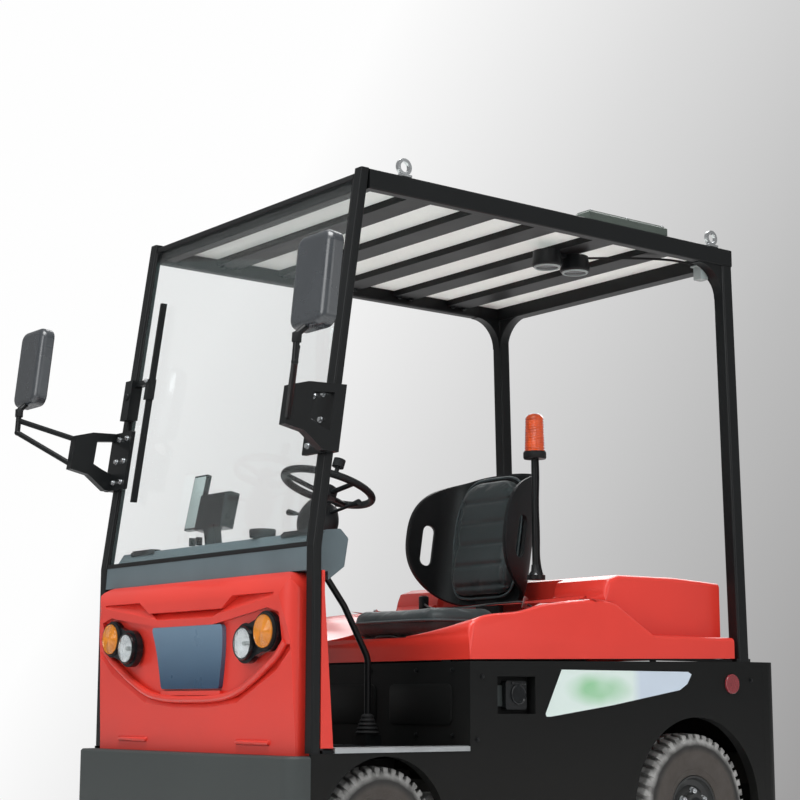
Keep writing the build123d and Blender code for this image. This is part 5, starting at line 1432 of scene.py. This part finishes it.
class SteeringOperator(TugOperator):
    """Adds the wheel's hub cap and horn button, and the column's boot, ring and stalks."""
    bl_idname = "bagtug.steering"
    bl_label = "Steering wheel and column fittings"

    def execute(self, context):
        axis = Vector((-sin(COLUMN_LEAN), 0, cos(COLUMN_LEAN)))
        side = Vector((cos(COLUMN_LEAN), 0, sin(COLUMN_LEAN)))
        centre = Vector((458, 0, 1242))
        cap = lathe("wheel_cap", [(-10, 0), (-10, 33), (-4, 33), (2, 29), (6, 20), (7.5, 0)], centre, axis,
                    48)
        finished(cap, "black_abs", "steering_wheel")
        button = lathe("horn_button", [(6.5, 0), (6.5, 13), (9, 12), (10, 0)], centre, axis, 32)
        finished(button, "glossy_abs", "steering_wheel")
        for name, step, out in (("column_ring", -66, 47), ("column_ring_low", -122, 60)):
            ring = lathe(name, [(step - 4, out - 16), (step - 4, out), (step + 2, out + 1.5),
                                (step + 5, out - 2), (step + 5, out - 16), (step - 4, out - 16)], centre,
                                axis, 48)
            finished(ring, "glossy_abs")
        foot = Vector((735, 0, 435))
        boot = []
        for i in range(6):
            boot += [(16 + i * 13, 52 - i * 2.5), (22 + i * 13, 58 - i * 3.2), (27 + i * 13, 51 - i * 2.8)]
        gaiter = lathe("column_boot", [(12, 38.3), (12, 58), *boot, (104, 38.3), (12, 38.3)], foot, axis, 48)
        finished(gaiter, "ribbed_rubber")
        hub = centre - axis * 96
        for name, y, long in (("gear_stalk", 1, 150), ("light_stalk", -1, 140)):
            start = hub + Vector((0, y * 48, 0))
            end = start + Vector((0, y * long, 0)) + axis * 26
            arm = rod(name, start, start.lerp(end, 0.68), 5, 16)
            grip = rod(name, start.lerp(end, 0.66), end, 7, 20, 3, 11)
            finished(joined([arm, grip], name), "black_abs")
        shell = joined([rod("shell", hub + Vector((0, 30, 0)), hub + Vector((0, 58, 0)), 15, 28, 3),
                        rod("shell", hub - Vector((0, 30, 0)), hub - Vector((0, 58, 0)), 15, 28, 3)],
                        "stalk_housings")
        finished(shell, "black_abs")
        clamp = joined([rod("clamp", hub - axis * 110 + side * 20, hub - axis * 110 - side * 44, 7, 20, 1.5),
                        rod("clamp", hub - axis * 110 - side * 44, hub - axis * 110 - side * 60, 13, 24, 3)],
                        "column_clamp")
        finished(clamp, "black_abs")
        screws = bolts("column_screws", [(735 + a, b, 447) for a in (-58, 58) for b in (-46, 46)], (0, 0, 1),
                       13, 6)
        finished(screws, "bright_zinc")
        return {"FINISHED"}


class PedalsOperator(TugOperator):
    """Adds ribbed rubber pads on the pedals, the lever's grip and its boot."""
    bl_idname = "bagtug.pedals"
    bl_label = "Pedal pads and parking lever"

    def execute(self, context):
        pads = []
        for centre, lean, half_x, half_y in (((800, -250, 507), 52, 70, 33), ((800, -130, 555), 60, 36, 44)):
            ribs = [box_piece("rib", (-half_x, -half_y, 5), (half_x, half_y, 8), 2)]
            count = int(half_x / 7)
            for i in range(count):
                x = -half_x + 8 + i * (2 * half_x - 16) / (count - 1)
                ribs.append(box_piece("rib", (x - 2, -half_y + 6, 7), (x + 2, half_y - 6, 11), 0.8))
            pad = joined(ribs, "pad")
            pads.append(moved(pad, Matrix.Translation(mm(*centre)) @ Matrix.Rotation(radians(lean), 4, "Y")
                              @ Matrix.Rotation(pi, 4, "X")))
        finished(joined(pads, "pedal_pads"), "ribbed_rubber")
        boot = []
        for i in range(5):
            boot += [(i * 12, 34 - i * 3.6), (i * 12 + 6, 37 - i * 4.2), (i * 12 + 11, 31 - i * 3.6)]
        gaiter = lathe("lever_boot", [(0, 10.4), *boot, (62, 10.4), (0, 10.4)], (440, 190, 469), (0, 0, 1),
                       40)
        finished(gaiter, "ribbed_rubber")
        grip = joined([rod("grip", (650, 190, 982.8), (716, 190, 1011.2), 16.5, 24, 4),
                       rod("grip", (716, 190, 1011.2), (722, 190, 1013.8), 8, 20, 1.5)], "lever_grip")
        finished(grip, "soft_grip")
        return {"FINISHED"}


class BodyFastenersOperator(TugOperator):
    """Adds the screws and bolts on the body and the guard."""
    bl_idname = "bagtug.body_fasteners"
    bl_label = "Body bolts and screws"

    def execute(self, context):
        low = [(x, 600.2, 172) for x in (330, 120, -90, -200)]
        low += [(x, 600.2, 640) for x in (330, -840)] + [(350, 600.2, 460), (-870, 600.2, 180),
                                                         (920, 600.2, 180)]
        finished_pair = bolts("side_screws", low, (0, 1, 0), 10, 3.2)
        pair(finished_pair, "guard_enamel")
        post = bolts("post_bolts", [(-838, 560, 710), (-838, 584, 710), (-786, 540, 710)], (0, 0, 1), 15, 7)
        pair(post, "bright_zinc")
        tail = bolts("tail_screws",
                     [(-980.2, y, z) for y, z in ((500, 200), (250, 200), (60, 640), (300, 660))], (-1, 0, 0),
                     10, 3.2)
        pair(tail, "guard_enamel")
        hitch = bolts("hitch_bolts", [(-996.5, 86, z) for z in (244, 330, 416)], (-1, 0, 0), 20, 10)
        pair(hitch, "worn_steel")
        slats = [(-808 + i * 259.62 + a, 588, 2063) for i in range(1, 6) for a in (-26, 26)]
        under = bolts("slat_bolts", [(x, 552, 2063.8) for x, _, _ in slats], (0, 0, -1), 13, 5)
        pair(under, "guard_enamel")
        eyes = bolts("eye_bolts", [(x + a, 582, 2107) for x in (610, -725) for a in (-13, 13)], (0, 0, 1), 8,
                     4)
        pair(eyes, "bright_zinc")
        wall = bolts("seat_wall_screws", [(377.2, y, z) for y in (120, 350, 520) for z in (470, 660)],
                     (1, 0, 0), 10, 3.2)
        pair(wall, "guard_enamel")
        kick = bolts("kick_screws", [(861.8, y, z) for y in (120, 330, 500) for z in (470, 870)], (-1, 0, 0),
                     10, 3.2)
        pair(kick, "guard_enamel")
        return {"FINISHED"}


class BodyTrimOperator(TugOperator):
    """Adds pressed swages, the step treads, the hood's seal and grip, and the caps of the sockets."""
    bl_idname = "bagtug.body_trim"
    bl_label = "Swages, seals and treads"

    def execute(self, context):
        swage = [plate("swage", 300, 120, 22, 3, (377.3, y, 560), (0, 1, 0), (1, 0, 0), 1.6)
                 for y in (-370, 0, 370)]
        finished(joined(swage, "seat_wall_swages"), "black_powder")
        panel = plate("kick_swage", 700, 240, 30, 2.5, (861.7, 0, 690), (0, -1, 0), (-1, 0, 0), 1.4)
        finished(panel, "black_powder")
        ribs = [box_piece("strip", (384 + i * 9, 551, 441.2), (388 + i * 9, 600, 442.6), 0.5)
                for i in range(53)]
        pair(joined(ribs, "step_tread"), "step_aluminium")
        seal = joined([box_piece("seal", (-762, 586, 698), (370, 592, 707), 1.5)], "hood_seal")
        pair(seal, "ribbed_rubber")
        grip = tube("hood_grip", [(-765, -70, 880), (-788, -70, 880), (-796, -62, 880), (-796, 62, 880),
                                  (-788, 70, 880), (-765, 70, 880)], 7)
        finished(grip, "black_abs", "hood")
        port = joined([lathe("port", [(586.2, 0), (586.2, 30), (590, 30), (591, 27), (589, 25), (588, 24),
                                      (588, 0)],
                             (178, 0, 590), (0, 1, 0), 40),
                       box_piece("port", (150, 586, 618), (206, 590, 626), 1.5)], "socket_cap")
        pair(port, "glossy_abs")
        tag = plate("socket_shutter", 46, 62, 5, 3, (236, 566, 585), (1, 0, 0), (0, 1, 0))
        pair(tag, "bumper_grey")
        return {"FINISHED"}


class RoofFittingsOperator(TugOperator):
    """Adds the roof lamps' lenses and loom, the roof box's lid and the curved webs of the rear posts."""
    bl_idname = "bagtug.roof_fittings"
    bl_label = "Roof lamps and box"

    def execute(self, context):
        for i, x in enumerate((-352.8, -224.8)):
            rim = lathe(f"roof_lamp_rim_{i}", [(2006, 38), (2006, 43), (2012, 46.5), (2016, 46.5), (2012, 41),
                                               (2010, 38), (2006, 38)], (x, 300, 0), (0, 0, 1), 48)
            finished(rim, "panel_pale")
            lens = lathe(f"roof_lamp_lens_{i}", [(2009.6, 0), (2009.6, 37), (2008, 37), (2006.6, 30),
                                                 (2006, 0)],
                         (x, 300, 0), (0, 0, 1), 48)
            finished(lens, "screen")
        screws = bolts("box_screws", [(x, y, 2130) for x in (-480, -318, -156) for y in (534, 586)],
                       (0, 0, 1), 8, 3)
        finished(screws, "bright_zinc")
        lid = box_piece("box_lid", (-490, 531, 2129.6), (-146, 589, 2133), 1.4)
        finished(lid, "roof_box_grey")
        arc = [(-804, 442 + 112 * cos(t), 1929 + 112 * sin(t)) for t in [pi / 2 * i / 10 for i in range(11)]]
        pair(cutout("post_web", [(-804, 556, 2041), *arc], (40, 0, 0), 2), "guard_enamel")
        bracket = joined([box_piece("bracket", (-736, 520, 1992), (-700, 556, 2040), 3),
                          box_piece("bracket", (-744, 516, 2036), (-690, 560, 2041), 1.5)], "harness_box")
        finished(bracket, "panel_pale")
        loom = tube("roof_loom", [(-718, 538, 2030), (-718, 530, 2045), (-600, 520, 2050), (-480, 430, 2055),
                                  (-360, 330, 2055), (-354, 300, 2060)], 4, 3)
        finished(loom, "ribbed_rubber")
        return {"FINISHED"}


class UndersideOperator(TugOperator):
    """Adds the brake line, motor fins, drain plug and housing bolts under the chassis."""
    bl_idname = "bagtug.underside"
    bl_label = "Underside fittings"

    def execute(self, context):
        fins = []
        for i in range(12):
            x = -520 + i * 17
            fins.append(lathe("fin", [(x, 91), (x, 97), (x + 5, 97), (x + 5, 91), (x, 91)], (0, 40, 245),
                              (1, 0, 0), 40))
        finished(joined(fins, "motor_fins"), "frame_black")
        line = tube("brake_line", [(-577, 300, 290), (-500, 262, 296), (-200, 256, 320), (200, 256, 320),
                                   (500, 262, 300), (640, 300, 250)], 4, 3)
        finished(line, "worn_steel")
        plug = bolts("drain_plug", [(-577, 0, 131.5)], (0, 0, -1), 22, 6)
        finished(plug, "worn_steel")
        cover = bolts("housing_bolts", [(-577 + 106 * cos(t), 60, 235 + 106 * sin(t)) for t in
                                        [2 * pi * i / 10 for i in range(10)]], (0, 1, 0), 12, 6)
        finished(cover, "frame_black")
        return {"FINISHED"}


OPERATORS = (StageOperator, FinishesOperator, TyresOperator, WheelFittingsOperator, HoodOperator,
             CushionOperator, SeatShellOperator, SeatBackOperator, SeatTrimOperator, HeadlampsOperator,
             IndicatorsOperator, BeaconOperator, NoseRidgesOperator, RearLampsOperator, MirrorsOperator,
             SideFilmOperator, GlazingOperator, DashboardOperator, SteeringOperator, PedalsOperator,
             BodyFastenersOperator, BodyTrimOperator, RoofFittingsOperator, UndersideOperator)


class TugPanel(bpy.types.Panel):
    """Lists the settings and the steps in the sidebar."""
    bl_idname = "VIEW3D_PT_baggage_tug"
    bl_label = "Baggage Tug"
    bl_space_type = "VIEW_3D"
    bl_region_type = "UI"
    bl_category = "Baggage Tug"

    def draw(self, context):
        for settings in (context.scene.tug_colours, context.scene.tug_sizes):
            for key in settings.__annotations__:
                self.layout.prop(settings, key)
        for operator in OPERATORS:
            self.layout.operator(operator.bl_idname)


CLASSES = (TugColours, TugSizes, *OPERATORS, TugPanel)


def register():
    for item in CLASSES:
        bpy.utils.register_class(item)
    bpy.types.Scene.tug_colours = bpy.props.PointerProperty(type=TugColours)
    bpy.types.Scene.tug_sizes = bpy.props.PointerProperty(type=TugSizes)


def unregister():
    del bpy.types.Scene.tug_sizes
    del bpy.types.Scene.tug_colours
    for item in reversed(CLASSES):
        bpy.utils.unregister_class(item)


def main():
    register()
    for operator in OPERATORS:
        group, name = operator.bl_idname.split(".")
        getattr(getattr(bpy.ops, group), name)()


if __name__ == "__main__":
    main()
